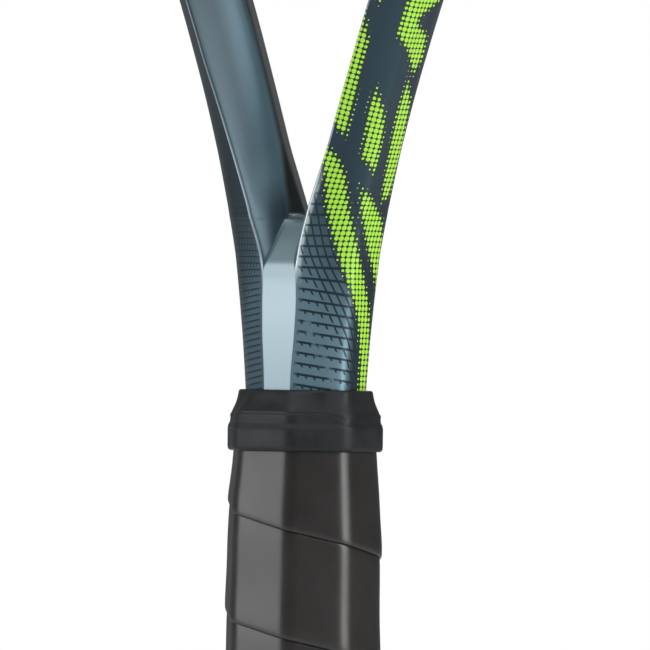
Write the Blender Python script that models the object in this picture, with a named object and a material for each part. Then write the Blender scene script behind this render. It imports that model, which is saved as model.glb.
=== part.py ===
"""A strung tennis racket, stood on its butt: carbon frame, handle, grip, rubber collar and string bed.

The frame's long axis is +Z, the strings lie in the XZ plane, and the origin is the middle of the butt's
bottom face. Sizes are written in millimetres, and every mesh is made in metres by mesh_object.
"""

import math

import bmesh
import bpy
from mathutils import Vector

MM = 0.001
GAP = 0.35                    # clearance between pieces that touch

# Driving sizes
HEAD_MIDDLE_Z = 501.5         # centre of the hoop's ellipse
HOOP_HALF_WIDTH = 127.5       # ellipse along the middle of the hoop's tube
HOOP_HALF_HEIGHT = 176.5
HOOP_DEPTH_SIDE = 25.6        # beam thickness at 3 and 9 o'clock
HOOP_DEPTH_TIP = 23.0
HOOP_TUBE = 11.4              # width of the tube in the string plane
JOIN_ANGLE = -52.0            # where the arms leave the ellipse
FRAME_WALL = 2.0
GROOVE = 2.0                  # depth of the grommet groove
GROOVE_LIP = 4.5
HOLE = 1.7                    # half width of a string hole
PEG = 1.3                     # half width of a grommet barrel
PEG_PROUD = 3.0               # how far a barrel stands out inside the hoop
STRING_RADIUS = 0.65
MAIN_Y = -0.85                # the two layers of strings lie on either side of the middle plane
CROSS_Y = 0.85
MAINS_PER_HALF = 8
CROSSES = 19

# Handle. Its pieces are nested octagons, each given by how far its flats lie inside the grip's
HANDLE_HALF = (17.25, 15.75)  # grip, half across the flats along X and along Y
HANDLE_SIDE = 6.15            # half of the side face's width
PALLET_INSET = 2.5
CAP_OUTER_INSET = 0.6
CAP_TOP_Z = 30.0
CAP_FLANGE_Z = 3.0
CAP_FLOOR_Z = 3.4
CAP_FLARE = -2.0
PALLET_Z = (4.0, 183.0)
GRIP_BOTTOM_Z = CAP_FLANGE_Z + GAP
GRIP_TOP_Z = 181.5
COLLAR_BOTTOM_Z = 178.2
COLLAR_TOP_Z = 192.0
COLLAR_LIP_GAP = 0.7          # the collar's lip clears the shaft by this, so that it can be pushed up

# The door in the butt
DOOR_HALF_WIDTH = 6.5
DOOR_FRONT_Y = -8.4
DOOR_Z = (0.3, 2.2)
HINGE_Y = 7.6
HINGE_Z = 1.9
HINGE_PIN_RADIUS = 0.75
KNUCKLE_RADIUS = 1.6
PIN_CLEARANCE = 0.1

# The bridge across the throat
BRIDGE_HALF_DEPTH = 9.6
BRIDGE_START_ANGLE = -62.0    # the end beside the arm
BRIDGE_HOLLOW_ANGLE = -69.5   # the tube is solid between the end and here

# The string dampener
DAMPENER_Z = (347.0, 360.0)

COLOURS = {                   # linear red, green, blue, then roughness and metallic
    "painted_carbon": (0.045, 0.085, 0.105, 0.35, 0.35),
    "grommet_nylon": (0.012, 0.013, 0.014, 0.45, 0.0),
    "string_polyester": (0.02, 0.02, 0.022, 0.3, 0.0),
    "pallet_foam": (0.45, 0.36, 0.2, 0.8, 0.0),
    "cap_plastic": (0.012, 0.012, 0.013, 0.4, 0.0),
    "grip_polyurethane": (0.028, 0.022, 0.02, 0.42, 0.0),
    "collar_rubber": (0.01, 0.011, 0.012, 0.5, 0.0),
    "tape": (0.02, 0.02, 0.02, 0.5, 0.0),
    "steel": (0.55, 0.55, 0.56, 0.3, 1.0),
    "lead": (0.2, 0.2, 0.21, 0.5, 1.0),
    "dampener_silicone": (0.3, 0.75, 0.05, 0.45, 0.0),
}


# ---------------------------------------------------------------- meshes

def material(name):
    found = bpy.data.materials.get(name)
    if found:
        return found
    red, green, blue, roughness, metallic = COLOURS[name]
    made = bpy.data.materials.new(name)
    made.use_nodes = True
    shader = made.node_tree.nodes["Principled BSDF"]
    shader.inputs["Base Color"].default_value = (red, green, blue, 1.0)
    shader.inputs["Roughness"].default_value = roughness
    shader.inputs["Metallic"].default_value = metallic
    return made


def mesh_object(name, polygons, finish, origin=(0.0, 0.0, 0.0), smooth=False):
    """One object from polygons in millimetres. Corners in the same place become one vertex."""
    bm = bmesh.new()
    made = {}

    def corner(point):
        key = tuple(round(c, 4) for c in point)
        if key not in made:
            made[key] = bm.verts.new((Vector(point) - Vector(origin)) * MM)
        return made[key]

    for polygon in polygons:
        corners = []
        for point in polygon:
            vert = corner(point)
            if vert not in corners:
                corners.append(vert)
        if len(corners) > 2:
            bm.faces.new(corners)
    bmesh.ops.recalc_face_normals(bm, faces=bm.faces)
    mesh = bpy.data.meshes.new(name)
    bm.to_mesh(mesh)
    bm.free()
    mesh.materials.append(material(finish))
    if smooth:
        mesh.shade_smooth()
        mesh.set_sharp_from_angle(angle=math.radians(35))
    made_object = bpy.data.objects.new(name, mesh)
    made_object.location = Vector(origin) * MM
    bpy.context.scene.collection.objects.link(made_object)
    return made_object


def loft(rings, caps=True, loop=False):
    """Polygons of the skin over a row of rings, which all have the same number of points."""
    polygons = []
    count = len(rings[0])
    pairs = list(zip(rings, rings[1:]))
    if loop:
        pairs.append((rings[-1], rings[0]))
    for low, high in pairs:
        for i in range(count):
            j = (i + 1) % count
            polygons.append([low[i], low[j], high[j], high[i]])
    if caps and not loop:
        polygons.append(list(reversed(rings[0])))
        polygons.append(list(rings[-1]))
    return polygons


def octagon(inset, z):
    """A section of the handle: the grip's octagon with every flat moved in by inset."""
    half_x, half_y = HANDLE_HALF[0] - inset, HANDLE_HALF[1] - inset
    side = HANDLE_SIDE - inset * math.tan(math.radians(22.5))
    face = half_x - (half_y - side)
    quarter = [(face, -half_y), (half_x, -side), (half_x, side), (face, half_y)]
    return [(x, y, z) for x, y in quarter] + [(-x, -y, z) for x, y in quarter]


def sleeve(outer, inner):
    """A tube closed at both ends: outer rings from bottom to top, then inner rings from top to bottom."""
    return loft(outer + inner, loop=True)


def cut_away(target, cutter):
    """Cuts cutter out of target, and leaves cutter as a hidden guide."""
    cutter.hide_render = True
    cutter.display_type = "WIRE"
    boolean = target.modifiers.new("cut", "BOOLEAN")
    boolean.operation = "DIFFERENCE"
    boolean.object = cutter


def block(low, high):
    """The six faces of a box, from its lowest to its highest corner."""
    rings = [
        [(low[0], low[1], z), (high[0], low[1], z), (high[0], high[1], z), (low[0], high[1], z)]
        for z in (low[2], high[2])
    ]
    return loft(rings)


def round_bar(start, end, radius, sides=6):
    """A straight bar between two points."""
    start, end = Vector(start), Vector(end)
    along = (end - start).normalized()
    side = along.cross(Vector((0, 1, 0)))
    if side.length < 0.1:
        side = along.cross(Vector((1, 0, 0)))
    side.normalize()
    up = along.cross(side)
    rings = []
    for end_point in (start, end):
        ring = []
        for i in range(sides):
            turn = 2 * math.pi * (i + 0.5) / sides
            ring.append(tuple(end_point + (side * math.cos(turn) + up * math.sin(turn)) * radius))
        rings.append(ring)
    return loft(rings)


# ---------------------------------------------------------------- the frame's middle line

def ellipse_point(angle):
    turn = math.radians(angle)
    return HOOP_HALF_WIDTH * math.cos(turn), HEAD_MIDDLE_Z + HOOP_HALF_HEIGHT * math.sin(turn)


def ellipse_tilt(angle):
    """The tube's lean from vertical, positive where it leans outwards as it rises."""
    turn = math.radians(angle)
    return math.atan2(-HOOP_HALF_WIDTH * math.sin(turn), HOOP_HALF_HEIGHT * math.cos(turn))


JOIN = ellipse_point(JOIN_ANGLE)
# Middle of one leg of the frame: x, z, and how fast x grows with z
LEG_KNOTS = [
    (7.05, 192.0, 0.03), (9.1, 216.0, 0.15), (12.1, 232.5, 0.235), (26.7, 280.0, 0.375),
    (JOIN[0], JOIN[1], math.tan(ellipse_tilt(JOIN_ANGLE))),
]


def leg_middle(z):
    """x and slope of the leg's middle line at height z, by cubic curves through the knots."""
    for (x0, z0, s0), (x1, z1, s1) in zip(LEG_KNOTS, LEG_KNOTS[1:]):
        if z <= z1 or z1 == LEG_KNOTS[-1][1]:
            break
    span = z1 - z0
    t = min(1.0, max(0.0, (z - z0) / span))
    x = ((2 * t**3 - 3 * t**2 + 1) * x0 + (t**3 - 2 * t**2 + t) * s0 * span
         + (3 * t**2 - 2 * t**3) * x1 + (t**3 - t**2) * s1 * span)
    slope = ((6 * t**2 - 6 * t) * x0 + (3 * t**2 - 4 * t + 1) * s0 * span
             + (6 * t - 6 * t**2) * x1 + (3 * t**2 - 2 * t) * s1 * span) / span
    return x, slope


def between(table, at):
    """Straight-line values between the rows of a table whose first column is the place."""
    if at <= table[0][0]:
        return table[0][1:]
    for low, high in zip(table, table[1:]):
        if at <= high[0]:
            t = (at - low[0]) / (high[0] - low[0])
            return [a + (b - a) * t for a, b in zip(low[1:], high[1:])]
    return table[-1][1:]


# ---------------------------------------------------------------- the frame's sections

# Shaft, below the fork, in plain x: z, outer x, ridge x, half depth, centre depth, corner x, shoulder depth, lip
SHAFT = [
    (5.0, 12.0, 5.0, 8.2, 8.2, 2.2, 6.2, 3.2),
    (184.5, 12.0, 5.0, 8.2, 8.2, 2.2, 6.2, 3.2),
    (191.0, 14.0, 3.6, 10.4, 10.4, 2.2, 7.9, 4.3),
    (205.0, 15.2, 3.7, 10.5, 10.5, 2.3, 8.0, 4.4),
    (218.5, 16.8, 3.9, 10.6, 10.5, 2.6, 8.1, 4.5),
    (222.0, 17.3, 4.4, 10.65, 9.4, 3.5, 8.1, 4.5),
    (226.0, 18.1, 5.8, 10.7, 7.2, 3.5, 8.15, 4.5),
    (230.3, 19.2, 7.6, 10.8, 4.1, 3.4, 8.2, 4.5),
]
# Arm, above the fork: z, inner, outer and ridge from the middle line, half depth, corner depth, groove
ARM = [
    (231.2, 8.3, 7.5, -3.9, 10.8, 4.0, 0.0),
    (246.0, 7.2, 7.1, -2.0, 11.0, 4.0, 0.0),
    (266.0, 7.0, 7.0, 0.2, 11.2, 4.1, 0.0),
    (285.0, 7.0, 7.0, 0.8, 11.4, 4.2, 0.0),
    (336.0, 6.2, 6.2, 0.6, 12.1, 4.6, 0.0),
    (343.0, 6.0, 6.0, 0.6, 12.3, 4.7, GROOVE),
    (362.0, 5.7, 5.7, 0.5, 12.6, 5.0, GROOVE),
]
TILT_FROM_Z = 231.0           # sections are level below this height, and square to the tube above the next
TILT_FULL_Z = 250.0
FORK_Z = 231.0


def place(x, z, tilt, u, v):
    """A point u outwards from the middle line and v towards the back."""
    return (x + u * math.cos(tilt), v, z - u * math.sin(tilt))


def columns(inner, hole_v, corner, corner_v, ridge, ridge_v, shoulder, shoulder_v, outer, lip_v, groove):
    """The section's outline as (u, v), from the inner side round the front and the outer side to the back."""
    front = [
        (inner, -hole_v), (corner, -corner_v), (ridge, -ridge_v), (shoulder, -shoulder_v),
        (outer, -lip_v), (outer - groove, -HOLE),
    ]
    return front + [(u, -v) for u, v in reversed(front)]


def cavity_columns(inner, ridge, ridge_v, outer, groove):
    """The tube's inside: six corners, with the same hole columns as the outside."""
    front = [(inner, -HOLE), (ridge, -(ridge_v - FRAME_WALL - 0.4)), (outer - groove - FRAME_WALL, -HOLE)]
    return front + [(u, -v) for u, v in reversed(front)]


def shaft_station(z):
    outer, ridge, half, centre_v, corner, shoulder_v, lip = between(SHAFT, z)
    outside = columns(0.0, centre_v, corner, centre_v, ridge, half, outer - 3.6, shoulder_v, outer, lip, 0.0)
    web = 1.2 if z < 215 else 2.4
    inside = cavity_columns(web, ridge + 1.6, half, outer, 0.0)
    return {"middle": (0.0, z, 0.0), "outside": outside, "inside": inside, "hole": False}


def tube_station(x, z, tilt, inner, outer, ridge, half, corner_v, groove, hole=False):
    outside = columns(-inner, HOLE, -inner, corner_v, ridge, half, outer - 2.6, half * 0.74,
                      outer, GROOVE_LIP, groove)
    inside = cavity_columns(-inner + FRAME_WALL, ridge, half, outer, groove)
    return {"middle": (x, z, tilt), "outside": outside, "inside": inside, "hole": hole}


def arm_station(z, hole=False):
    return tube_station(leg_middle(z)[0], z, arm_tilt(z), *between(ARM, z), hole)


def hoop_half_depth(angle):
    """Half the beam's thickness: full at the sides, thinner towards the tip."""
    high = max(0.0, math.sin(math.radians(angle)))
    return (HOOP_DEPTH_SIDE + (HOOP_DEPTH_TIP - HOOP_DEPTH_SIDE) * high**2) / 2


def hoop_station(angle, hole=False):
    x, z = ellipse_point(angle)
    half = HOOP_TUBE / 2
    if angle >= 90.0:
        x = 0.0
    return tube_station(x, z, ellipse_tilt(angle), half, half, 0.5, hoop_half_depth(angle), 5.0, GROOVE, hole)


# ---------------------------------------------------------------- string places

def main_x(number):
    """Distance of a main string from the middle plane, counted 0 to 7 outwards."""
    step = number + 0.5
    return 9.9 * step + 0.0184 * step**3


def cross_z(number):
    """Height of a cross string, counted 0 to 18 upwards. They are closer together towards the tip."""
    down = CROSSES - 1 - number
    return 644.5 - 13.5 * down - 0.091 * down**2


def barrel_tip(angle):
    """Where a grommet barrel at this angle ends, inside the hoop."""
    x, z = ellipse_point(angle)
    tilt = ellipse_tilt(angle)
    inwards = HOOP_TUBE / 2 + PEG_PROUD
    return x - inwards * math.cos(tilt), z + inwards * math.sin(tilt)


def angle_where(measure, wanted, low, high):
    """The angle between low and high at which measure(angle) is wanted, by halving."""
    rising = measure(high) > measure(low)
    for _ in range(50):
        middle = (low + high) / 2
        if (measure(middle) < wanted) == rising:
            low = middle
        else:
            high = middle
    return (low + high) / 2


TOP_MAIN_ANGLES = [angle_where(lambda a: barrel_tip(a)[0], main_x(i), 20.0, 90.0)
                   for i in range(MAINS_PER_HALF)]
LOW_MAIN_ANGLES = [angle_where(lambda a: barrel_tip(a)[0], main_x(i), -90.0, -20.0)
                   for i in range(MAINS_PER_HALF)]
CROSS_ANGLES = [angle_where(lambda a: barrel_tip(a)[1], cross_z(i), -80.0, 80.0) for i in range(CROSSES)]
HOOP_HOLES = sorted([a for a in LOW_MAIN_ANGLES if a > JOIN_ANGLE + 1] + CROSS_ANGLES + TOP_MAIN_ANGLES)
ARM_MAINS = (5, 6)            # these pass through the arms, below the hoop's own holes
BRIDGE_MAINS = (4, 3, 2, 1, 0)
GROMMET_MAINS = (3, 2, 1, 0)  # number 4 is beside the arm, where the bridge has no room for a grommet


def arm_tilt(z):
    share = min(1.0, max(0.0, (z - TILT_FROM_Z) / (TILT_FULL_Z - TILT_FROM_Z)))
    return math.atan(leg_middle(z)[1]) * share


def arm_reach(number):
    """How far a barrel in the arm reaches inwards. The arm has already left the ellipse at number 5."""
    return 6.0 + PEG_PROUD + (2.0 if number == 5 else 0.0)


def arm_barrel_tip(number, z):
    x, tilt = leg_middle(z)[0], arm_tilt(z)
    return x - arm_reach(number) * math.cos(tilt), z + arm_reach(number) * math.sin(tilt)


ARM_HOLE_Z = {i: angle_where(lambda z: arm_barrel_tip(i, z)[0], main_x(i), 330.0, 362.0) for i in ARM_MAINS}


def angle_step(angle, length):
    """The change of angle that moves this length along the hoop's middle line."""
    turn = math.radians(angle)
    speed = math.hypot(HOOP_HALF_WIDTH * math.sin(turn), HOOP_HALF_HEIGHT * math.cos(turn))
    return math.degrees(length / speed)


# ---------------------------------------------------------------- frame

def frame_stations():
    """The half frame from the butt to the tip. A string hole takes two stations, and the first is marked."""
    shaft_z = [5.0, 184.5, 191.0, 205.0, 213.0, 218.5, 222.0, 226.0, 230.3]
    arm_z = [231.2, 236.0, 243.0, 252.0, 266.0, 280.0, 294.0, 308.0, 322.0, 336.0, 343.0]
    made = [shaft_station(z) for z in shaft_z] + [arm_station(z) for z in arm_z]
    for number in ARM_MAINS:
        z = ARM_HOLE_Z[number]
        half = HOLE * math.cos(arm_tilt(z))
        made += [arm_station(z - half, hole=True), arm_station(z + half)]
    made.append(hoop_station(JOIN_ANGLE))
    for angle in HOOP_HOLES:
        step = angle_step(angle, HOLE)
        made += [hoop_station(angle - step, hole=True), hoop_station(angle + step)]
    made.append(hoop_station(90.0))
    return made


def placed(station, key):
    """A station's outline as points, held at x = 0 where the two legs of the shaft meet."""
    x, z, tilt = station["middle"]
    return [place(x, z, tilt, u, v) for u, v in station[key]]


def half_frame():
    """Polygons of the frame's half at x >= 0: skin, inside of the tube, and the walls of the string holes."""
    stations = frame_stations()
    outside = [placed(s, "outside") for s in stations]
    inside = [placed(s, "inside") for s in stations]
    polygons = []

    def strip(low, high, i, flip=False):
        j = (i + 1) % len(low)
        quad = [low[i], low[j], high[j], high[i]]
        polygons.append(quad[::-1] if flip else quad)

    for k in range(len(stations) - 1):
        drilled = stations[k]["hole"]
        for i in range(12):
            quad = [outside[k][i], outside[k][(i + 1) % 12], outside[k + 1][i], outside[k + 1][(i + 1) % 12]]
            in_middle = all(abs(point[0]) < 1e-6 for point in quad)
            if in_middle or (drilled and i in (5, 11)):
                continue
            strip(outside[k], outside[k + 1], i)
        for i in range(6):
            if not (drilled and i in (2, 5)):
                strip(inside[k], inside[k + 1], i, flip=True)
        if drilled:
            for skin, bore in ((5, 2), (11, 5)):
                outer_hole = [outside[k][skin], outside[k][(skin + 1) % 12],
                              outside[k + 1][(skin + 1) % 12], outside[k + 1][skin]]
                inner_hole = [inside[k][bore], inside[k][(bore + 1) % 6],
                              inside[k + 1][(bore + 1) % 6], inside[k + 1][bore]]
                polygons.extend(loft([outer_hole, inner_hole], caps=False))
    polygons.extend(foot_ring(outside[0], inside[0]))
    return polygons


def foot_ring(outline, bore):
    """The end of one leg at the butt, between its outline and the open tube."""
    partner = [0, 0, 1, 1, 2, 2, 3, 3, 4, 4, 5, 5]
    polygons = []
    for i in range(12):
        j = (i + 1) % 12
        a, b = partner[i], partner[j]
        if a == b:
            polygons.append([outline[i], outline[j], bore[a]])
        else:
            polygons.append([outline[i], outline[j], bore[b], bore[a]])
    return polygons


def mirrored(polygons):
    return [[(-x, y, z) for x, y, z in reversed(polygon)] for polygon in polygons]


def make_frame():
    half = half_frame()
    mesh_object("frame", half + mirrored(half), "painted_carbon", smooth=True)


# ---------------------------------------------------------------- throat bridge

def gap_to_arm(x, z):
    """Distance from a point between the arms to the inner side of the right arm."""
    foot = z
    for _ in range(12):
        middle, slope = leg_middle(foot)
        tilt = math.atan(slope)
        foot += ((x - middle) * math.sin(tilt) + (z - foot) * math.cos(tilt)) * math.cos(tilt)
    middle, slope = leg_middle(foot)
    tilt = math.atan(slope)
    return -((x - middle) * math.cos(tilt) - (z - foot) * math.sin(tilt)) - between(ARM, foot)[0]


def bridge_outer(angle):
    """The bridge's lower side, from its middle line: full, or as far as the arm leaves room."""
    full = HOOP_TUBE / 2
    x, z = ellipse_point(angle)
    tilt = ellipse_tilt(angle)

    def gap(u):
        return gap_to_arm(x + u * math.cos(tilt), z - u * math.sin(tilt))

    if angle < -80 or gap(full) > GAP:
        return full
    return angle_where(gap, GAP, -full, full)


def bridge_station(angle, hole=False):
    x, z = ellipse_point(angle)
    x = 0.0 if angle <= -90.0 else x
    inner, outer = -HOOP_TUBE / 2, bridge_outer(angle)
    thick = outer - inner
    half = BRIDGE_HALF_DEPTH
    ridge = inner + 0.4 * thick
    outside = columns(inner, HOLE, inner, 4.6, ridge, half, inner + 0.82 * thick, half * 0.8, outer, 4.2, 0.0)
    inside = cavity_columns(inner + FRAME_WALL, ridge, half, outer, 0.0)
    return {"middle": (x, z, ellipse_tilt(angle)), "outside": outside, "inside": inside,
            "hole": hole, "hollow": angle > BRIDGE_HOLLOW_ANGLE - 90 and angle <= BRIDGE_HOLLOW_ANGLE}


def bridge_hole_angle(number):
    return LOW_MAIN_ANGLES[number]


def make_bridge():
    stations = [bridge_station(a) for a in (BRIDGE_START_ANGLE, -64.0)]
    for number in BRIDGE_MAINS:
        angle = bridge_hole_angle(number)
        step = angle_step(angle, HOLE)
        stations += [bridge_station(angle + step, hole=True), bridge_station(angle - step)]
        if number == 4:
            stations.append(bridge_station(BRIDGE_HOLLOW_ANGLE))
    stations.append(bridge_station(-90.0))
    outside = [placed(s, "outside") for s in stations]
    inside = [placed(s, "inside") for s in stations]
    first = next(k for k, s in enumerate(stations) if s["hollow"])
    polygons = [outside[0], inside[first]]
    for k in range(len(stations) - 1):
        drilled, hollow = stations[k]["hole"], k >= first
        for i in range(12):
            j = (i + 1) % 12
            if not (drilled and i in (5, 11)):
                polygons.append([outside[k][i], outside[k][j], outside[k + 1][j], outside[k + 1][i]])
        for i in range(6):
            j = (i + 1) % 6
            if hollow and not (drilled and i in (2, 5)):
                polygons.append([inside[k][i], inside[k][j], inside[k + 1][j], inside[k + 1][i]])
        if drilled:
            rims = [[outside[k][i], outside[k][i - 11], outside[k + 1][i - 11], outside[k + 1][i]]
                    for i in (11, 5)]
            rims[1] = [outside[k][6], outside[k][5], outside[k + 1][5], outside[k + 1][6]]
            bores = [[inside[k][5], inside[k][0], inside[k + 1][0], inside[k + 1][5]],
                     [inside[k][3], inside[k][2], inside[k + 1][2], inside[k + 1][3]]]
            if hollow:
                polygons += loft([rims[0], bores[0]], caps=False) + loft([bores[1], rims[1]], caps=False)
            else:
                polygons += loft([rims[0], rims[1]], caps=False)
    mesh_object("throat_bridge", polygons + mirrored(polygons), "painted_carbon", smooth=True)


# ---------------------------------------------------------------- grommets

def tube_point(station, u, v):
    x, z, tilt = station["middle"]
    return place(x, z, tilt, u, v)


def grommet_strip(sections, pegs):
    """A strip along the tube with square barrels. Sections are (station, outline as (u, v)); the first two
    points of an outline are the strip's underside, and pegs maps a section's number to its barrel's end."""
    rings = [[tube_point(station, u, v) for u, v in outline] for station, outline in sections]
    polygons = [rings[0], rings[-1]]
    count = len(rings[0])
    for k in range(len(rings) - 1):
        for i in range(count):
            j = (i + 1) % count
            if i == 0 and k in pegs:
                base = [rings[k][0], rings[k][1], rings[k + 1][1], rings[k + 1][0]]
                ends = [tube_point(sections[n][0], pegs[k], v)
                        for n, v in ((k, -PEG), (k, PEG), (k + 1, PEG), (k + 1, -PEG))]
                polygons += loft([base, ends], caps=False) + [ends]
            else:
                polygons.append([rings[k][i], rings[k][j], rings[k + 1][j], rings[k + 1][i]])
    return polygons


def groove_outline(outer):
    """A strip that lies in the groove, a little below the tube's outer side."""
    floor = outer - GROOVE + GAP
    return [(floor, -PEG), (floor, PEG), (outer - 0.2, 3.3), (outer - 0.2, -3.3)]


def bumper_outline(outer):
    """The guard at the tip: a rib in the groove and a skin over the tube's outer side."""
    half = [(outer - GROOVE + GAP, PEG), (outer + 0.35, 3.6), (outer - 0.75, 7.2),
            (outer + 0.2, 7.6), (outer + 1.5, 4.2)]
    return [(half[0][0], -PEG)] + half + [(u, -v) for u, v in reversed(half[1:])]


def strip_sections(angles, outline, first_angle, last_angle):
    """Sections and barrels of a strip on the hoop between two angles, both away from any hole."""
    sections = [(hoop_station(first_angle), outline)]
    pegs = {}
    for angle in angles:
        step = angle_step(angle, PEG)
        pegs[len(sections)] = -(HOOP_TUBE / 2 + PEG_PROUD)
        sections += [(hoop_station(angle - step), outline), (hoop_station(angle + step), outline)]
    sections.append((hoop_station(last_angle), outline))
    return sections, pegs


BUMPER_FROM = 36.0
SIDE_TO = 34.0


def make_grommets():
    outer = HOOP_TUBE / 2
    high = [a for a in HOOP_HOLES if a > BUMPER_FROM]
    low = [a for a in HOOP_HOLES if a < SIDE_TO]

    sections, pegs = strip_sections(high, bumper_outline(outer), BUMPER_FROM, 90.0)
    half = grommet_strip(sections, pegs)
    middle = [tube_point(sections[-1][0], u, v) for u, v in sections[-1][1]]
    half = [polygon for polygon in half if polygon != middle]
    mesh_object("bumper_guard", half + mirrored(half), "grommet_nylon", smooth=True)

    sections, pegs = strip_sections(low, groove_outline(outer), JOIN_ANGLE + 0.6, SIDE_TO)
    leg = [(arm_station(344.5), groove_outline(6.0))]
    leg_pegs = {}
    for number in ARM_MAINS:
        z = ARM_HOLE_Z[number]
        step = PEG * math.cos(arm_tilt(z))
        leg_pegs[len(leg)] = -arm_reach(number)
        for height in (z - step, z + step):
            leg.append((arm_station(height), groove_outline(between(ARM, height)[1])))
    pegs = {k + len(leg): reach for k, reach in pegs.items()}
    right = grommet_strip(leg + sections, {**leg_pegs, **pegs})
    mesh_object("grommet_strip_right", right, "grommet_nylon")
    mesh_object("grommet_strip_left", mirrored(right), "grommet_nylon")

    below = [(outer + GAP, -PEG), (outer + GAP, PEG), (outer + GAP, 3.0), (outer + 1.0, 2.4),
             (outer + 1.0, -2.4), (outer + GAP, -3.0)]
    numbers = sorted(GROMMET_MAINS)
    sections, pegs = [(bridge_station(-90.0), below)], {}
    for number in numbers:
        angle = bridge_hole_angle(number)
        step = angle_step(angle, PEG)
        pegs[len(sections)] = -(outer + PEG_PROUD)
        sections += [(bridge_station(angle - step), below), (bridge_station(angle + step), below)]
    sections.append((bridge_station(bridge_hole_angle(numbers[-1]) + angle_step(-73.0, 1.8)), below))
    half = grommet_strip(sections, pegs)
    middle = [tube_point(sections[0][0], u, v) for u, v in below]
    half = [polygon for polygon in half if polygon != middle]
    mesh_object("bridge_grommet_strip", half + mirrored(half), "grommet_nylon")


# ---------------------------------------------------------------- strings

def end_gap(along, across):
    """How far a string ends from the middle of a slanting barrel's end. The two numbers are the barrel's
    direction, along the string and across it."""
    return (STRING_RADIUS * abs(across) + GAP) / abs(along)


def low_end(number):
    """Height at which a main string ends below."""
    if number in ARM_MAINS:
        z = ARM_HOLE_Z[number]
        tilt = arm_tilt(z)
        return arm_barrel_tip(number, z)[1] + end_gap(math.sin(tilt), math.cos(tilt))
    angle = LOW_MAIN_ANGLES[number]
    tilt = ellipse_tilt(angle)
    if number in BRIDGE_MAINS and number not in GROMMET_MAINS:
        return barrel_tip(angle)[1] - PEG_PROUD
    return barrel_tip(angle)[1] + end_gap(math.sin(tilt), math.cos(tilt))


def make_strings():
    """The mains and the crosses as two layers that touch nothing. A woven bed would bend over and under."""
    xs = sorted([main_x(i) for i in range(MAINS_PER_HALF)] + [-main_x(i) for i in range(MAINS_PER_HALF)])
    for count, x in enumerate(xs):
        number = min(range(MAINS_PER_HALF), key=lambda i: abs(main_x(i) - abs(x)))
        angle = TOP_MAIN_ANGLES[number]
        tilt = ellipse_tilt(angle)
        top = barrel_tip(angle)[1] - end_gap(math.sin(tilt), math.cos(tilt))
        bar = round_bar((x, MAIN_Y, low_end(number)), (x, MAIN_Y, top), STRING_RADIUS)
        mesh_object(f"main_string_{count + 1:02d}", bar, "string_polyester", smooth=True)
    for number, angle in enumerate(CROSS_ANGLES):
        z = cross_z(number)
        tilt = ellipse_tilt(angle)
        half = barrel_tip(angle)[0] - end_gap(math.cos(tilt), math.sin(tilt))
        bar = round_bar((-half, CROSS_Y, z), (half, CROSS_Y, z), STRING_RADIUS)
        mesh_object(f"cross_string_{number + 1:02d}", bar, "string_polyester", smooth=True)


def make_dampener():
    """A silicone button that grips the two middle mains, with a plate in front and a plate behind."""
    neck = main_x(0) - STRING_RADIUS - GAP
    front, back = MAIN_Y - STRING_RADIUS - GAP, MAIN_Y + STRING_RADIUS + GAP
    rings = []
    bottom, top = DAMPENER_Z
    for z, inset in ((bottom, 1.6), (bottom + 1.6, 0.0), (top - 1.6, 0.0), (top, 1.6)):
        plate, thick = 7.6 - inset, 2.8 - inset * 0.5
        right = [(plate - 1.2, front - thick), (plate, front - thick + 1.0), (plate, front), (neck, front),
                 (neck, back), (plate, back), (plate, back + thick - 1.0), (plate - 1.2, back + thick)]
        rings.append([(x, y, z) for x, y in right] + [(-x, y, z) for x, y in reversed(right)])
    middle = ((0.0, MAIN_Y, (bottom + top) / 2))
    mesh_object("string_dampener", loft(rings), "dampener_silicone", origin=middle)


# ---------------------------------------------------------------- handle

def make_pallets():
    """Two foam shells that make the round-cornered legs of the frame into an octagon."""
    rings = []
    for z in PALLET_Z:
        outer = [point for point in octagon(PALLET_INSET, z) if point[1] < 0]
        outer.sort(key=lambda point: -point[0])
        half_x = outer[0][0]
        channel = [(12.4, -0.2), (12.4, -3.4), (8.6, -6.65), (5.1, -8.6)]
        ring = [(half_x, -0.2, z)] + outer + [(-half_x, -0.2, z)]
        ring += [(-x, y, z) for x, y in channel] + [(x, y, z) for x, y in reversed(channel)]
        rings.append(ring)
    front = loft(rings)
    mesh_object("pallet_front", front, "pallet_foam")
    mesh_object("pallet_back", [[(-x, -y, z) for x, y, z in face] for face in front], "pallet_foam")


def make_butt_cap():
    low_y, high_y = DOOR_FRONT_Y - GAP, HINGE_Y + KNUCKLE_RADIUS + GAP
    half_x, cut = DOOR_HALF_WIDTH + GAP, 0.3

    def opening(z):
        corners = [(half_x - cut, low_y), (half_x, low_y + cut), (half_x, high_y - cut), (half_x - cut, high_y)]
        return [(x, y, z) for x, y in corners] + [(-x, y, z) for x, y in reversed(corners)]

    outer = [octagon(CAP_FLARE + 0.8, 0.0), octagon(CAP_FLARE, 0.8), octagon(CAP_FLARE, CAP_FLANGE_Z),
             octagon(CAP_OUTER_INSET, CAP_FLANGE_Z), octagon(CAP_OUTER_INSET, CAP_TOP_Z)]
    inner = [octagon(PALLET_INSET - GAP, CAP_TOP_Z), octagon(PALLET_INSET - GAP, CAP_FLOOR_Z),
             opening(CAP_FLOOR_Z), opening(0.0)]
    cap = mesh_object("butt_cap", sleeve(outer, inner), "cap_plastic")
    bore = round_bar((-8.6, HINGE_Y, HINGE_Z), (8.6, HINGE_Y, HINGE_Z),
                     HINGE_PIN_RADIUS + PIN_CLEARANCE, sides=12)
    cut_away(cap, mesh_object("hinge_bore", bore, "cap_plastic"))


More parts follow.
